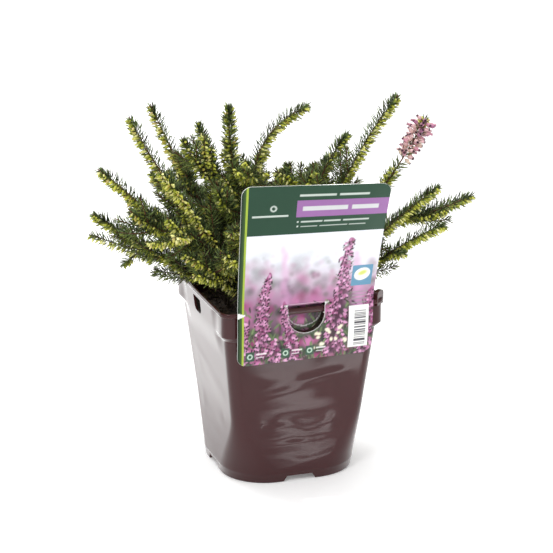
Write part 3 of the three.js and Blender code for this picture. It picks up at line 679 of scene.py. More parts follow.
def scatter(template, origins, xs, ys, zs):
    """Copies of a template at many places, its axes given for each copy."""
    body, faces = template
    points = (origins[:, None] + body[None, :, 0:1] * xs[:, None] + body[None, :, 1:2] * ys[:, None]
              + body[None, :, 2:3] * zs[:, None])
    step = np.arange(len(origins))[:, None, None] * len(body)
    return points.reshape(-1, 3), (faces[None] + step).reshape(-1, faces.shape[1])


# Shoots

def curve_at(t, start, knee, tip):
    return (1 - t) ** 2 * start + 2 * t * (1 - t) * knee + t * t * tip


def curve_line(start, knee, tip, steps=120):
    places = (np.array(place, float) for place in (start, knee, tip))
    return curve_at(np.linspace(0, 1, steps + 1)[:, None], *places)


def reach_of(line):
    """How far each point of a line is from its start, along it."""
    return np.concatenate([[0], np.cumsum(np.linalg.norm(np.diff(line, axis=0), axis=1))])


def square_to(axes, vectors):
    """Unit vectors at right angles to unit axes, from vectors that lean along them."""
    return unit(vectors - np.sum(vectors * axes, 1, keepdims=True) * axes)


def frames_on(line, distances):
    """Centre, direction, upper side and cross direction at distances along a line."""
    reach = reach_of(line)
    tangents = np.gradient(line, reach, axis=0)
    centre, along = (np.stack([np.interp(distances, reach, row) for row in rows.T], 1)
                     for rows in (line, tangents))
    along = unit(along)
    outward = unit(np.array([line[-1, 0], line[-1, 1], 0.0]))
    upper = square_to(along, np.array([-0.5 * outward[0], -0.5 * outward[1], 1.0]))
    return centre, along, upper, np.cross(along, upper)


def ways_out(line, distances, angles):
    """Centre and direction on a line, and the way out at angles from its upper side."""
    centre, along, upper, side = frames_on(line, distances)
    return centre, along, np.cos(angles)[:, None] * upper + np.sin(angles)[:, None] * side


def leaned(out, along, degrees):
    """A way out from a line, turned so that it makes an angle with the line."""
    lean = np.radians(degrees)[:, None]
    return out * np.sin(lean) + along * np.cos(lean)


def card_y(x, z):
    """Where the card's front face lies in depth at a place on it."""
    across = np.clip((x - CARD_X) / CARD_WIDE + 0.5, 0, 1)
    rise = np.clip((z - CARD_BEND_Z) / (CARD_TOP - CARD_BEND_Z), 0, None)
    drop = np.clip((CARD_BEND_Z - z) / (CARD_BEND_Z - CARD_BOTTOM), 0, None)
    return CARD_FRONT - mix(*CARD_LEAN, across) * rise ** 1.15 + mix(*CARD_TUCK, across) * drop * drop


def has_room(points, margin):
    """Whether places are clear of the card, the pot's rim and the soil."""
    x, y, z = points.T
    wide = np.maximum(np.abs(x), np.abs(y))
    behind = (np.abs(x - CARD_X) > CARD_WIDE / 2 + margin) | (z > CARD_TOP + margin)
    behind |= y > card_y(x, z) + CARD_THICK + margin
    off_rim = (z > POT_HEIGHT + margin) | (wide < RIM_HALF_INNER - margin) | (wide > POT_HALF + margin)
    return behind & off_rim & (z > SOIL_TOP + 1)


def bed_needles(line, first, rng, density=1.0, length=NEEDLE_LENGTH, last=2.0):
    """Needles on a line from a distance to near its tip: place, direction, the line's direction,
    size, and how far each grows on the upper side, from -1 to 1."""
    total = reach_of(line)[-1]
    end = total - last
    whorls = max(2, int((end - first) / WHORL_STEP * density))
    k = np.arange(whorls * PER_WHORL)
    whorl = k // PER_WHORL
    d = first + (end - first) * (whorl + rng.uniform(-0.3, 0.3, len(k))) / whorls
    d = np.clip(d, 0, end)
    angle = (k % PER_WHORL) * 2 * math.pi / PER_WHORL + whorl * 0.6 + rng.uniform(-0.3, 0.3, len(k))
    centre, along, out = ways_out(line, d, angle)
    to_tip = 1 - smooth(0, 14, total - d)
    aim = leaned(out, along, mix(62, 30, to_tip) + rng.uniform(-16, 16, len(k)))
    size = length * rng.uniform(0.72, 1.15, len(k)) * mix(1, 0.62, to_tip)
    return centre + out * 0.5, aim, along, size, np.cos(angle)


def bed_buds(line, first, rng, density=1.0, spread=1.0):
    """Buds in rows on the lower side of a line, given as the needles are. There may be none."""
    total = reach_of(line)[-1] - 2
    rows = []
    for turn in BUD_ROWS:
        count = int((total - first) / BUD_STEP * density + rng.random())
        if count < 1:
            continue
        d = first + (total - first) * (np.arange(count) + rng.uniform(0.1, 0.9, count)) / count
        angle = math.pi + np.radians(turn * spread + rng.uniform(-20, 20, count))
        centre, along, out = ways_out(line, d, angle)
        aim = leaned(out, along, rng.uniform(48, 84, count)) - (0, 0, 0.25)
        size = BUD_LENGTH * rng.uniform(0.7, 1.15, count) * mix(0.75, 1, smooth(0, 14, total - d))
        rows.append((centre + out * 0.4, unit(aim), along, size, np.cos(angle)))
    return [tuple(np.concatenate(part) for part in zip(*rows))] if rows else []


def tube(line, radii, sides=6):
    centre, _, upper, side = frames_on(line, reach_of(line))
    c, s = circle(sides)
    ring = upper[:, None] * c[None, :, None] + side[:, None] * s[None, :, None]
    points = centre[:, None] + ring * np.asarray(radii)[:, None, None]
    at = np.arange(len(line) * sides).reshape(len(line), sides)
    after = np.roll(at, -1, axis=1)
    quads = np.stack([at[:-1], after[:-1], after[1:], at[1:]], -1).reshape(-1, 4)
    return points.reshape(-1, 3), quads


NEEDLE = spindle([(0, 0.6), (0.5, 1.0), (1.0, 0)], 3)
BUD = spindle([(-0.25, 0.2), (0.12, 0.55), (0.4, 1.0), (0.62, 0.94), (0.86, 0.5), (1.0, 0)], 5)


def copies(template, beds, width, rng, bend=0.0):
    """Copies of a needle or bud template over its beds: the points and triangles, each point's
    share of the length, the number of its copy, and the place and side of each copy."""
    origins, aim, along, size, side = (np.concatenate(part) for part in zip(*beds))
    reach = aim * size[:, None]
    clear = has_room(origins + reach, 1.0) & has_room(origins + reach / 2, 1.0)
    origins, aim, along, size, side = (part[clear] for part in (origins, aim, along, size, side))
    curl = square_to(aim, along)
    across = np.cross(aim, curl)
    thick = (width * rng.uniform(0.8, 1.2, len(size)))[:, None]
    points, tris = scatter(template, origins, aim * size[:, None], curl * thick, across * thick)
    lengthwise = template[0][:, 0]
    points += ((lengthwise ** 2 * bend)[None, :, None] * size[:, None, None] * curl[:, None]).reshape(-1, 3)
    owner = np.repeat(np.arange(len(size)), len(lengthwise))
    return points, tris, np.tile(lengthwise, len(size)), owner, origins, side


def depth_shade(origins):
    """Painted shade: leaves low and deep in the plant, where shade falls, are made darker; they are also
    older.
    """
    height = smooth(135, 222, origins[:, 2])
    outside = smooth(30, 108, np.hypot(origins[:, 0], origins[:, 1]))
    return mix(0.58, 1.0, np.maximum(height, outside))[:, None]


def leaf_colours(share, owner, origins, side, rng):
    """Dark to pale green, limier on the lower side, with some brown ones, darkened with painted shade low
    and deep in the plant, and darker at the base of each needle.
    """
    count = len(origins)
    mixed = mix(linear(33, 47, 27), linear(126, 146, 84), rng.random((count, 1)) ** 1.5)
    under = smooth(0.2, 1.0, -side + rng.uniform(-0.4, 0.4, count))[:, None]
    mixed = mix(mixed, linear(150, 162, 66), under * rng.uniform(0.1, 0.8, (count, 1)))
    faded = (rng.random((count, 1)) < 0.22) * rng.uniform(0.3, 0.9, (count, 1))
    mixed = mix(mixed, linear(58, 36, 32), faded) * depth_shade(origins)
    return mixed[owner] * mix(0.75, 1.15, np.clip(share, 0, 1))[:, None]


def bud_colours(share, owner, origins, warmth, rng):
    """Olive, lime and cream buds, some of them warmer, with a green base."""
    count = len(origins)
    draw = rng.random((count, 1))
    mixed = mix(linear(140, 148, 44), linear(212, 213, 84), np.clip(draw * 2, 0, 1))
    mixed = mix(mixed, linear(246, 242, 172), np.clip(draw * 2 - 1, 0, 1))
    warmer = (rng.random((count, 1)) < warmth * 0.5) * rng.uniform(0.2, 0.65, (count, 1))
    # Buds low and deep in the plant are darkened with painted shade.
    mixed = mix(mixed, linear(204, 160, 104), warmer) * mix(0.6, 1.0, depth_shade(origins))
    return mix(linear(74, 96, 26), mixed[owner], smooth(-0.1, 0.45, share)[:, None])


def side_twigs(line, rng, until):
    """Short leafy side twigs on the inner part of a shoot, which fill the middle of the plant."""
    total = reach_of(line)[-1]
    number = int(total / 6 * until)
    twigs = []
    for k in range(number):
        share = mix(0.08, until, (k + rng.random()) / number)
        length = mix(44, 18, share / 0.7) * rng.uniform(0.8, 1.15)
        angle = np.array([rng.uniform(0, 2 * math.pi)])
        centre, along, out = (v[0] for v in ways_out(line, np.array([share * total]), angle))
        aim = unit(along * 0.9 + out * 0.65)
        knee = centre + aim * length * 0.5
        tip = knee + unit(aim + along * 0.3 + (0, 0, 0.4)) * length * 0.5
        if has_room(np.array([knee, tip]), 6.0).all():
            twigs.append(curve_line(centre, knee, tip, 7))
    return twigs


def shoot_lines(root, shoots):
    """The line of each shoot, from the root or from its fork on the first shoot."""
    foot = np.array([*root, FOOT_TOP], float)
    first_tip, first_knee = (np.array(place, float) for place in shoots[0][:2])
    return [curve_line(curve_at(fork, foot, first_knee, first_tip), knee, tip)
            for tip, knee, _, fork in shoots]


def grow_shoot(line, leafy, habit, rng, leaves, buds, twigs):
    """Adds one shoot's needles, buds and side twigs to those of its stem."""
    leaf_density, bud_density, _, spread, until = habit
    total = reach_of(line)[-1]
    first = max(total - leafy, 2)
    leaves.append(bed_needles(line, first, rng, leaf_density))
    leaves.append(bed_needles(line, total - min(total - 8, 12), rng, leaf_density, NEEDLE_LENGTH * 0.8))
    bare = max(total * 0.16, 6)
    if first > bare + 8:
        leaves.append(bed_needles(line, bare, rng, 0.6 * leaf_density, last=total - first))
    buds += bed_buds(line, first + 4, rng, bud_density, spread)
    for twig in side_twigs(line, rng, until):
        leaves.append(bed_needles(twig, 1, rng, 0.9, NEEDLE_LENGTH * 0.88))
        buds += bed_buds(twig, 4, rng, bud_density * rng.choice((0, 0, 1.0)), 1.5)
        twigs.append(tube(twig, np.linspace(0.5, 0.28, len(twig)), 4))


def make_stem(name, root, shoots, habit, rng, mats):
    leaves, buds, twigs = [], [], []
    stalk = [(*root, SOIL_TOP - 6), (*root, SOIL_TOP + 4)]
    radius = STEM_RADIUS
    for line, shoot in zip(shoot_lines(root, shoots), shoots):
        stalk = np.concatenate([stalk, line[::5]]) if len(stalk) else line[::5]
        reach = reach_of(stalk)
        twigs.append(tube(stalk, mix(radius, 0.35, (reach / reach[-1]) ** 0.7)))
        grow_shoot(line, shoot[2], habit, rng, leaves, buds, twigs)
        stalk, radius = [], TWIG_RADIUS
    make_leaves(name, leaves, 1.0, rng, mats["leaf"], name)
    make_buds(name, buds, BUD_WIDTH, habit[2], rng, mats["bud"])
    make_twigs(name, twigs, mats["bark"])


def make_leaves(name, beds, light, rng, material, *nodes):
    points, tris, share, owner, origins, side = copies(NEEDLE, beds, NEEDLE_WIDTH, rng, 0.1)
    colours = leaf_colours(share, owner, origins, side, rng) * light
    place_tinted(name + "_leaves", points, [tris], colours, material, "heath_dark", *nodes)


def make_buds(name, beds, width, warmth, rng, material):
    points, tris, share, owner, origins, _ = copies(BUD, beds, width, rng)
    colours = bud_colours(share, owner, origins, warmth, rng)
    place_tinted(name + "_buds", points, [tris], colours, material, "heath_lime")


def make_twigs(name, tubes, material):
    points, quads = joined(tubes)
    high = smooth(SOIL_TOP + 10, SOIL_TOP + 90, points[:, 2:3])
    colours = mix(linear(56, 44, 36), linear(112, 72, 52), high)
    place_tinted(name + "_twigs", points, [quads], colours, material, "heath_dark")


# Flowers

BELL_PROFILE = (
    (0, 0.12), (0.1, 0.6), (0.36, 1.0), (0.66, 0.98), (0.88, 0.68), (0.98, 0.62), (1.08, 0.78))


def bell_template(sides=9):
    """An urn-shaped bell, open at its mouth, with small lobes."""
    body, faces = spindle([*BELL_PROFILE, (2, 0)], sides)
    body, faces = body[:-1], faces[:-sides]
    lobes = (np.arange(len(body)) % 3 == 0) & (body[:, 0] > 1.05)
    body[lobes, 0] += 0.1
    return body, faces


def make_flower_stem(rng, mats):
    root, tip, knee = FLOWER_STEM
    name = "stem_in_flower"
    line = curve_line((*root, FOOT_TOP), knee, tip)
    total = reach_of(line)[-1]
    bloom = total - BLOOM_LENGTH
    stalk = np.concatenate([[(*root, SOIL_TOP - 6)], line[::4]])
    reach = reach_of(stalk)
    tubes = [tube(stalk, mix(STEM_RADIUS, 0.45, reach / reach[-1]))]
    tubes += make_bells(name, line, bloom, rng, mats["petal"])
    leaves = [
        bed_needles(line, bloom - 36, rng, 1.3, last=BLOOM_LENGTH + 4),
        bed_needles(line, total * 0.3, rng, 0.45, last=BLOOM_LENGTH + 30),
        bed_needles(line, total - 9, rng, 1.6, NEEDLE_LENGTH * 0.85),
        tuple(part[::3] for part in bed_needles(line, bloom, rng, 0.9, last=8)),
    ]
    make_leaves(name, leaves, 1.25, rng, mats["leaf"])
    top = curve_line(line[-11], line[-5], line[-1], 8)
    below = line[reach_of(line) < bloom - 8]
    buds = bed_buds(below, reach_of(below)[-1] - 26, rng, 1.7, 2.6) + bed_buds(top, 0, rng, 3.0, 2.6)
    make_buds(name, buds, BUD_WIDTH * 0.9, 0.1, rng, mats["bud"])
    make_twigs(name, tubes, mats["bark"])


def make_bells(name, line, bloom, rng, material):
    """Bells in a spiral from where the bloom starts to the tip. Returns the tubes of their stalks."""
    turn = np.arange(BELLS)
    d = bloom + (BLOOM_LENGTH - 3) * (turn + rng.uniform(0, 0.8, BELLS)) / BELLS
    centre, along, out = ways_out(line, d, turn * 2.4 + rng.uniform(-0.4, 0.4, BELLS))
    aim = unit(out + along * rng.uniform(-0.1, 0.6, (BELLS, 1)) - (0, 0, 0.15))
    size = rng.uniform(4.2, 6.2, (BELLS, 1))
    curl = square_to(aim, along)
    across = np.cross(aim, curl)
    base = centre + aim * rng.uniform(0.8, 4.0, (BELLS, 1))
    bell = bell_template()
    points, tris = scatter(bell, base, aim * size, curl * 1.5, across * 1.5)
    colours = bell_colours(bell[0], rng)
    place_tinted(name + "_bells", points, [tris], colours, material, "flower_pink", name)
    make_bell_parts(name + "_parts", base, aim, curl, across, size, material)
    return [tube(np.array(ends), [0.22, 0.22], 4) for ends in zip(centre, base)]


def bell_colours(body, rng):
    """Cream, pale pink, pink and mauve bells, stronger towards the mouth."""
    palette = np.array([linear(238, 216, 198), linear(230, 190, 194),
                        linear(208, 148, 168), linear(172, 108, 146)])
    pick = rng.random(BELLS) * 2.4 + 1.7 * np.arange(BELLS) / BELLS
    tone = np.repeat(palette[np.clip(pick.astype(int), 0, 3)], len(body), axis=0)
    share = np.tile(body[:, 0], BELLS)[:, None]
    return mix(mix(tone, linear(244, 226, 206), 0.45), tone, smooth(0.0, 0.7, share))


def make_bell_parts(name, base, aim, curl, across, size, material):
    """Pale sepals round each bell and dark anthers that stand out of its mouth."""
    sepal = spindle([(0, 0.2), (0.35, 0.55), (1.0, 0)], 4)
    anther = spindle([(0, 0.2), (0.3, 0.32), (1, 0)], 4)
    parts, tints = [], []
    for c, s in zip(*circle(4)):
        swing = curl * c + across * s
        for template, at, axis, colour in (
                (sepal, base, unit(aim * 0.8 + swing * 0.5) * 3.4, linear(196, 188, 128)),
                (anther, base + aim * size * 0.98 + swing * 0.7, aim * 1.9, linear(84, 38, 66))):
            y = unit(np.cross(axis, swing))
            z = unit(np.cross(axis, y))
            parts.append(scatter(template, at, axis, y * 0.9, z * 0.9))
            tints.append(np.tile(colour, (len(parts[-1][0]), 1)))
    points, tris = joined(parts)
    place_tinted(name, points, [tris], np.concatenate(tints), material, "flower_pink")


# Card

def grid_lines(low, high, step, marks):
    """Lines from low to high, about a step apart, that pass through all the marks."""
    stops = sorted({low, high, *[m for m in marks if low < m < high]})
    lines = [low]
    for a, b in zip(stops, stops[1:]):
        pieces = max(1, round((b - a) / step))
        lines += [a + (b - a) * (i + 1) / pieces for i in range(pieces)]
    return np.array(lines)


def cut_edge(x, z):
    """Signed distance to the cut round the tongue, negative inside it."""
    centre = TONGUE_BOTTOM + TONGUE_HALF
    disc = np.maximum(np.hypot(x, z - centre) - TONGUE_HALF, z - centre)
    over = z - CARD_BEND_Z - SLIT_TALL
    above = np.maximum(np.abs(x) - TONGUE_HALF, np.maximum(centre - z, over))
    slit = np.maximum(np.abs(x) - SLIT_HALF, np.abs(over + SLIT_TALL / 2) - SLIT_TALL / 2)
    hole = np.minimum(np.minimum(disc, above), slit)
    corner_x, corner_z = np.abs(x) - TONGUE_HALF - SHOULDER, z - CARD_BEND_Z + SHOULDER
    shoulder = np.maximum(SHOULDER - np.hypot(corner_x, corner_z), np.maximum(corner_x, -corner_z))
    return np.minimum(hole, np.maximum(shoulder, over))


def card_edge(x, z):
    """Signed distance to the card's outline, negative on the card."""
    dx = np.abs(x - CARD_X) - (CARD_WIDE / 2 - CARD_CORNER)
    dz = np.abs(z - (CARD_TOP + CARD_BOTTOM) / 2) - ((CARD_TOP - CARD_BOTTOM) / 2 - CARD_CORNER)
    outer = np.hypot(np.maximum(dx, 0), np.maximum(dz, 0)) + np.minimum(np.maximum(dx, dz), 0)
    return np.maximum(outer - CARD_CORNER, -cut_edge(x, z))


def cell_corners(grid):
    """The values at the four corners of each cell of a grid, counter-clockwise."""
    return np.stack([grid[:-1, :-1], grid[:-1, 1:], grid[1:, 1:], grid[1:, :-1]], -1)


def fitted_grid(step, marks_x, marks_z):
    """Grid points drawn onto the card's outline where they are near it, and the cells inside."""
    xs = grid_lines(LEFT, RIGHT, step, [-TONGUE_HALF, TONGUE_HALF, -SLIT_HALF, SLIT_HALF, *marks_x])
    zs = grid_lines(CARD_BOTTOM, CARD_TOP, step, [CARD_BEND_Z, CARD_BEND_Z + SLIT_TALL, *marks_z])
    x, z = np.meshgrid(xs, zs)
    edge = card_edge(x, z)
    eps = 0.01
    gx = (card_edge(x + eps, z) - card_edge(x - eps, z)) / (2 * eps)
    gz = (card_edge(x, z + eps) - card_edge(x, z - eps)) / (2 * eps)
    near = (edge > -0.35 * step) & (edge < 0.65 * step)
    x = np.where(near, x - edge * gx, x)
    z = np.where(near, z - edge * gz, z)
    inside = cell_corners(card_edge(x, z) < 0.08).all(-1)
    return xs, zs, x, z, cell_corners(np.arange(x.size).reshape(x.shape)), inside


def blot(art, cx, cz, rx, rz, turn, colour, strength=1.0, soft=0.25):
    """Paints a soft-edged ellipse."""
    reach = max(rx, rz)
    c0, c1 = np.searchsorted(art["xs"], [cx - reach, cx + reach])
    r0, r1 = np.searchsorted(art["zs"], [cz - reach, cz + reach])
    c0, r0 = max(c0 - 1, 0), max(r0 - 1, 0)
    x = art["x"][r0:r1, c0:c1] - cx
    z = art["z"][r0:r1, c0:c1] - cz
    a = (x * math.cos(turn) + z * math.sin(turn)) / rx
    b = (-x * math.sin(turn) + z * math.cos(turn)) / rz
    fill = np.clip((1 - np.hypot(a, b)) / soft, 0, 1)[..., None] * strength
    part = art["rgb"][r0:r1, c0:c1]
    part += fill * (colour - part)


def dot(art, x, z, size, colour, strength=1.0, soft=0.25):
    blot(art, x, z, size, size, 0, colour, strength, soft)


def block(art, x0, x1, z0, z1, colour, strength=1.0):
    """Paints a rectangle."""
    inside = (art["x"] > x0) & (art["x"] < x1) & (art["z"] > z0) & (art["z"] < z1)
    part = art["rgb"][inside]
    art["rgb"][inside] = part + strength * (colour - part)


def paint_picture(art, rng):
    """A generic bed of pink heath: soft colours behind, leaves, upright spikes and pale flowers."""
    lower = smooth(CARD_BOTTOM + 14, CARD_BOTTOM + 52, art["z"])[..., None]
    upper = smooth(CARD_BOTTOM + 44, HEAD_LOW - 18, art["z"])[..., None]
    ground = mix(linear(38, 42, 42), linear(158, 112, 144), lower)
    art["rgb"][:] = mix(ground, linear(228, 230, 238), upper)
    tones = [linear(156, 48, 110), linear(190, 112, 160), linear(66, 88, 62), linear(26, 24, 28)]
    for _ in range(SOFT_BLOTS):
        depth = rng.random() ** 1.4
        z = mix(CARD_BOTTOM, HEAD_LOW - 16, depth)
        colour = tones[rng.choice(4, p=[0.2, 0.24, 0.3, 0.26])]
        size = rng.uniform(2.0, 7.0)
        dot(art, rng.uniform(LEFT, RIGHT), z, size, colour, 0.95 * (1 - 0.9 * depth), 0.75)
    for x, low, top, lean, width in FAR_SPIKES:
        for t in np.arange(40) / 40:
            across = x + lean * t * 60 + rng.uniform(-1, 1) * width * 0.4
            tone = mix(linear(196, 120, 180), linear(220, 180, 210), t)
            blot(art, across, mix(low, top, t), width * mix(1, 0.5, t), width, 0, tone, 0.3, 0.9)
    for _ in range(LEAF_BLOTS):
        z = CARD_BOTTOM + 44 * rng.random() ** 1.5
        x, rx, rz, turn = (rng.uniform(*span) for span in ((LEFT, RIGHT), (2, 4.5), (0.5, 1.2), (0.6, 2.5)))
        tone = mix(linear(20, 30, 24), linear(118, 140, 92), rng.random() ** 1.4)
        blot(art, x, z, rx, rz, turn, tone, 0.9, 0.4)
    for spike in SPIKES:
        paint_spike(art, rng, *spike)
    for _ in range(PALE_BLOTS):
        x, z = rng.uniform(2, 34), rng.uniform(CARD_BOTTOM + 6, CARD_BOTTOM + 24)
        blot(art, x, z, 2.2, 1.6, rng.uniform(0, 3), linear(236, 232, 206), 0.95, 0.6)


def paint_spike(art, rng, x, low, top, lean, width):
    """One upright spike of small bells with dark tips, narrower towards its top."""
    z = low
    while z < top:
        up = (z - low) / (top - low)
        centre = x + lean * (z - low) + 1.2 * math.sin(z / 9 + x)
        half = width * mix(1, 0.22, up ** 1.3)
        blot(art, centre, z, half * 0.9, 1.6, 0, linear(60, 28, 48), 0.6, 0.6)
        for _ in range(3):
            across = rng.uniform(-1, 1)
            px, pz = centre + across * half, z + rng.uniform(-1.0, 1.0)
            tone = mix(linear(138, 52, 104), linear(228, 172, 210), rng.random() ** 1.1)
            blot(art, px, pz, 1.15, 2.3, across * 1.1, tone, 0.95, 0.35)
            blot(art, px + across * 1.6, pz - 1.7, 0.75, 0.95, 0, linear(44, 16, 36), 0.95, 0.4)
        if rng.random() < 0.5:
            side = rng.choice([-1, 1])
            px = centre + side * half * 1.15
            blot(art, px, z, 2.4, 0.35, side * 0.6, linear(84, 106, 62), 0.85, 0.4)
        z += 1.4


def paint_card(art, rng):
    """A generic print: a green head with a purple block over a picture of pink heath, with a painted
    highlight along the cut round the tongue.
    """
    paint_picture(art, rng)
    block(art, LEFT, RIGHT + 1, HEAD_LOW, CARD_TOP + 1, linear(28, 64, 45))
    block(art, TITLE_LEFT, RIGHT + 1, TITLE_LOW, TITLE_TOP, linear(148, 102, 158))
    paint_rules(art)
    shade = np.clip((art["x"] - LEFT) / (BAND_EDGE - LEFT), 0, 1)[..., None]
    band = art["x"] < BAND_EDGE
    art["rgb"][band] = mix(linear(20, 46, 26), linear(66, 98, 40), shade ** 2)[band]
    block(art, BAND_EDGE, STRIPE_EDGE, CARD_BOTTOM - 1, CARD_TOP + 1, linear(158, 180, 60))
    notch = (art["x"] < LEFT + 5.5) & (np.abs(art["z"] - 140) < 2.2 * (1 - (art["x"] - LEFT) / 7))
    art["rgb"][notch] = linear(236, 238, 232)
    paint_panel(art, rng)
    paint_icons(art)
    cut = cut_edge(art["x"], art["z"])
    # A pale line on the print along the cut round the tongue is a painted highlight of the cut edge.
    cut_glint = (cut > -0.1) & (cut < 0.35) & (np.abs(art["x"]) < TONGUE_HALF + SHOULDER)
    art["rgb"][cut_glint] = mix(art["rgb"][cut_glint], linear(222, 214, 218), 0.6)


def paint_rules(art):
    """Plain pale bars and dots in the head of the card."""
    pale = linear(216, 226, 218)
    for across, wide, drop, tall in RULES:
        low = CARD_TOP - drop
        block(art, LEFT + across, LEFT + across + wide, low, low + tall, pale, 0.75)
    for drop in (28.5, 32.3):
        dot(art, LEFT + 41, CARD_TOP - drop, 0.7, pale, soft=0.3)
    dot(art, LEFT + 23, CARD_TOP - 17.5, 2.6, pale, 0.8, 0.15)
    dot(art, LEFT + 23, CARD_TOP - 17.5, 1.5, linear(28, 64, 45), soft=0.2)


def paint_panel(art, rng):
    """A pale panel with plain bars at the right edge, short rules over it and a plain badge."""
    block(art, PANEL_LEFT, PANEL_RIGHT, PANEL_LOW, PANEL_TOP, linear(236, 236, 234))
    z = PANEL_LOW + 1.3
    while z < 135:
        bar = rng.choice([0.35, 0.6, 0.9])
        block(art, BARS_LEFT, BARS_RIGHT, z, z + bar, linear(70, 68, 74))
        z += bar + rng.choice([0.4, 0.7, 1.0])
    for low in 141 + 2.8 * np.arange(4):
        block(art, RIGHT - 17, RIGHT - 5, low, low + 1.2, linear(150, 140, 146), 0.7)
    block(art, PANEL_LEFT, PANEL_RIGHT, BADGE_LOW, BADGE_TOP, linear(92, 142, 172))
    blot(art, RIGHT - 11.2, 165, 6.4, 5.2, 0.35, linear(238, 240, 232), 1.0, 0.08)
    blot(art, RIGHT - 11.0, 166, 4.6, 2.4, 0.35, linear(206, 214, 110), 1.0, 0.5)


def paint_icons(art):
    """Three plain icons along the lower edge, each with two short rules."""
    green = linear(38, 76, 56)
    low = CARD_BOTTOM + 3.4
    for start in (6.3, 34.0, 52.8):
        x = LEFT + start
        block(art, x, x + 6.6, low, low + 7, green, 0.95)
        dot(art, x + 3.3, low + 3.5, 2.3, linear(190, 214, 196), soft=0.15)
        dot(art, x + 3.3, low + 3.5, 1.4, green, soft=0.2)
        for right, rise in ((16, 4.4), (14, 2.0)):
            block(art, x + 8, x + right, low + rise, low + rise + 0.9, linear(236, 236, 234), 0.75)


def make_card(rng):
    marks_x = [BAND_EDGE, STRIPE_EDGE, TITLE_LEFT, PANEL_LEFT, PANEL_RIGHT, BARS_LEFT, BARS_RIGHT]
    marks_z = [HEAD_LOW, TITLE_LOW, TITLE_TOP, CARD_BOTTOM + 3, PANEL_TOP, BADGE_LOW, BADGE_TOP]
    xs, zs, x, z, quads, inside = fitted_grid(CELL, marks_x, marks_z)
    corner_x, corner_z = (mix(corners, corners.mean(-1, keepdims=True), 0.04)
                          for corners in (cell_corners(x), cell_corners(z)))
    art = {"xs": xs, "zs": zs, "x": corner_x, "z": corner_z, "rgb": np.zeros(corner_x.shape + (3,))}
    paint_card(art, rng)
    points = np.stack([x, card_y(x, z) - PRINT_OUT, z], -1).reshape(-1, 3)
    faces = quads[inside]
    used, renumbered = np.unique(faces, return_inverse=True)
    colours = art["rgb"][inside].reshape(-1, 3)
    place_tinted("label_print", points[used], [renumbered.reshape(-1, 4)], colours,
                 card_material("card print", 0.3), "label_card", "label", domain="CORNER")
    make_card_body(x, z, faces)
    make_tongue(art)


def make_card_body(x, z, faces):
    """The card's plain back and its thin white edges."""
    edges = np.concatenate([faces[:, [k, (k + 1) % 4]] for k in range(4)])
    keys = {(a, b) for a, b in edges.tolist()}
    rim = np.array([(a, b) for a, b in keys if (b, a) not in keys])
    used, renumbered = np.unique(rim, return_inverse=True)
    rim = renumbered.reshape(-1, 2)
    fx, fz = x.ravel()[used], z.ravel()[used]
    front = np.c_[fx, card_y(fx, fz) - PRINT_OUT, fz]
    back = np.c_[fx, card_y(fx, fz) + CARD_THICK, fz]
    n = len(used)
    sides = np.c_[rim[:, 1], rim[:, 0], rim[:, 0] + n, rim[:, 1] + n]
    _, _, bx, bz, quads, inside = fitted_grid(BACK_CELL, [], [])
    plate = np.stack([bx, card_y(bx, bz) + CARD_THICK, bz], -1).reshape(-1, 3)
    points = np.concatenate([front, back, plate])
    faces = [sides, quads[inside][:, ::-1] + 2 * n]
    colours = np.tile(linear(228, 230, 226), (len(points), 1))
    place_tinted("label_card", points, faces, colours, card_material("card body", 0.4), "label_card",
                 sharp=40)


def tongue_path():
    """The tongue's line from the bend over the rim to its end, as depth, height and distance."""
    rim_top = POT_HEIGHT + 1
    knots = np.array([
        (CARD_FRONT + 0.1, CARD_BEND_Z + TONGUE_START), (CARD_FRONT + 0.3, CARD_BEND_Z + 1),
        (CARD_FRONT + 2.2, rim_top + 0.9), (TONGUE_Y - 0.9, rim_top), (TONGUE_Y, rim_top - 2.5),
        (TONGUE_Y, TONGUE_BOTTOM + 8), (TONGUE_Y, TONGUE_BOTTOM + 2.5), (TONGUE_Y, TONGUE_BOTTOM)])
    reach = reach_of(knots)
    d = np.linspace(0, reach[-1], 60)
    y, z = (np.interp(d, reach, row) for row in knots.T)
    for row in (y, z):
        row[2:-2] = np.convolve(row, np.ones(5) / 5, "valid")
    return y, z, d


def make_tongue(art):
    """The tongue hooks back over the rim and hangs inside, behind the slot in the wall."""
    y, z, d = tongue_path()
    tail = np.minimum(d[-1] - d, TONGUE_HALF)
    half = np.sqrt(np.maximum(TONGUE_HALF ** 2 - (TONGUE_HALF - tail) ** 2, 1)) - 0.6
    x = np.linspace(-1, 1, TONGUE_COLUMNS) * half[:, None]
    grid = np.stack([x, *(np.repeat(row[:, None], TONGUE_COLUMNS, 1) for row in (y, z))], -1)
    dy, dz = np.gradient(y), np.gradient(z)
    off = np.stack([np.zeros_like(y), -dz, dy], -1) * (CARD_THICK / np.hypot(dy, dz))[:, None]
    points = np.concatenate([grid.reshape(-1, 3), (grid + off[:, None]).reshape(-1, 3)])
    n = x.size
    at = np.arange(n).reshape(x.shape)
    front = cell_corners(at)[..., [0, 3, 2, 1]].reshape(-1, 4)
    ring = np.concatenate([at[0, :-1], at[:-1, -1], at[-1, :0:-1], at[:0:-1, 0]])
    after = np.roll(ring, -1)
    faces = [front, front[:, ::-1] + n, np.c_[ring, after, after + n, ring + n]]
    flat_z = np.repeat(CARD_BEND_Z + TONGUE_START - d, TONGUE_COLUMNS)
    columns, rows = (np.clip(np.searchsorted(lines, places) - 1, 0, len(lines) - 2)
                     for lines, places in ((art["xs"], x.ravel()), (art["zs"], flat_z)))
    # The tongue's back and edges are painted a dull pinkish grey, darker than the card's white, as painted
    # shade behind the wall.
    colours = np.tile(linear(150, 132, 142), (2 * n, 1))
    colours[:n] = art["rgb"][rows, columns, 0]
    place_tinted("label_tongue", points, faces, colours, card_material("card tongue", 0.3), "label_card",
                 sharp=40)


# Stage, light and camera

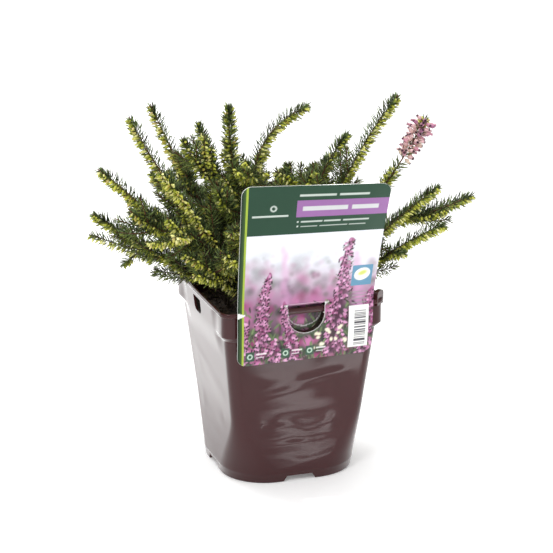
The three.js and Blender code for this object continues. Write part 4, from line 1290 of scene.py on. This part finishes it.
def make_stage():
    half = 6.0
    corners = [(-half, -half, 0), (half, -half, 0), (half, half, 0), (-half, half, 0)]
    mesh = bpy.data.meshes.new("floor")
    mesh.from_pydata(corners, [], [(0, 1, 2, 3)])
    floor = new_object("floor", mesh)
    material, tree, shader = new_material("floor")
    tree.links.new(add_range(tree, add_noise(tree, 3.0), 0.55, 0.65), shader.inputs["Roughness"])
    shader.inputs["Base Color"].default_value = (0.93, 0.93, 0.928, 1)
    shader.inputs["Emission Color"].default_value = (1.0, 1.0, 1.0, 1)
    shader.inputs["Emission Strength"].default_value = 0.18
    floor.data.materials.append(material)


# Softboxes: name, place and aim in metres, size, power
SOFTBOXES = (("key softbox", (-1.1, -1.2, 1.5), (0, 0, 0.16), (0.6, 0.6), 14),
             ("front softbox", (1.1, -1.6, 1.1), (0, 0, 0.12), (0.9, 0.9), 6),
             ("top softbox", (0.1, 0.3, 2.4), (0, 0.1, 0), (2.4, 2.4), 45),
             ("rear softbox", (-0.5, 1.4, 1.0), (-0.25, 0.55, 0), (1.0, 0.8), 16))

# Spots that shine straight down on the floor before the pot, so that the waves in its wall
# catch streaks of light: name, place across and in depth in metres, cone in degrees, power
FLOOR_SPOTS = (("nearest spot", 0.014, -0.09, 2.4, 50), ("near spot", 0.03, -0.127, 3.4, 105),
               ("far spot left", 0.044, -0.2, 3.8, 115), ("far spot right", 0.1, -0.21, 4.2, 135))


def add_light(name, kind, power, place):
    light = bpy.data.lights.new(name, kind)
    light.energy = power
    lamp = bpy.data.objects.new(name, light)
    bpy.context.scene.collection.objects.link(lamp)
    lamp.location = place
    return lamp, light


def light_scene():
    world = bpy.data.worlds.new("studio")
    bpy.context.scene.world = world
    world.use_nodes = True
    background = world.node_tree.nodes["Background"]
    background.inputs["Color"].default_value = (1.0, 1.0, 1.0, 1)
    background.inputs["Strength"].default_value = 0.5
    for name, place, aim, size, power in SOFTBOXES:
        lamp, light = add_light(name, "AREA", power, place)
        light.shape = "RECTANGLE"
        light.size, light.size_y = size
        lamp.rotation_euler = (Vector(aim) - Vector(place)).to_track_quat("-Z", "Y").to_euler()
    for name, x, y, cone, power in FLOOR_SPOTS:
        lamp, light = add_light(name, "SPOT", power, (POT_CENTRE[0] + x, POT_CENTRE[1] + y, 0.9))
        light.spot_size = math.radians(cone)
        light.spot_blend = 0.45
        light.shadow_soft_size = 0.009
    bpy.context.scene.view_settings.view_transform = "Standard"


# The camera that was fitted to the pot: focal length in pixels, distance in millimetres,
# turn, rise, shift of the pot in the view, and the height that it looks at
PHOTO_PIXELS = 553
SENSOR = 36
CAMERA_PIXELS = 2249.0
CAMERA_DISTANCE = 1726.0
CAMERA_TURN = math.radians(-18.7)
CAMERA_RISE = math.radians(17.4)
CAMERA_SHIFT = (0.9, -77.0)
CAMERA_AIM_Z = 65.0


def make_camera():
    level = math.cos(CAMERA_RISE)
    back = np.array([math.sin(CAMERA_TURN) * level, -math.cos(CAMERA_TURN) * level, math.sin(CAMERA_RISE)])
    right = np.array([math.cos(CAMERA_TURN), math.sin(CAMERA_TURN), 0])
    up = np.cross(back, right)
    place = CAMERA_DISTANCE * back - CAMERA_SHIFT[0] * right - CAMERA_SHIFT[1] * up + (0, 0, CAMERA_AIM_Z)
    data = bpy.data.cameras.new("camera")
    data.sensor_width = SENSOR
    data.lens = CAMERA_PIXELS / PHOTO_PIXELS * SENSOR
    data.clip_end = 20
    camera = bpy.data.objects.new("camera", data)
    bpy.context.scene.collection.objects.link(camera)
    camera.matrix_world = Matrix((*np.c_[right, up, back, place * MM + POT_CENTRE].tolist(), (0, 0, 0, 1)))
    bpy.context.scene.camera = camera


make_camera()
make_pot()
make_soil(np.random.default_rng(3))
make_card(np.random.default_rng(5))
materials = {
    "leaf": tinted_material("needles", 700.0, (0.8, 1.2), (0.42, 0.6), 0.0001, 1.3),
    "bud": tinted_material("buds", 900.0, (0.88, 1.12), (0.35, 0.5), 0.0001, 1.4),
    "bark": tinted_material("bark", 600.0, (0.7, 1.3), (0.6, 0.85), 0.0002, 1.35),
    "petal": tinted_material("petals", 800.0, (0.9, 1.1), (0.5, 0.65), 0.0001, 1.4, sheen=0.3),
}
for index, (stem, (root, *shoots)) in enumerate(STEMS.items()):
    habit = HABITS.get(stem, PLAIN_HABIT)
    make_stem("stem_" + stem, root, shoots, habit, np.random.default_rng(100 + index), materials)
make_flower_stem(np.random.default_rng(77), materials)
make_stage()
light_scene()
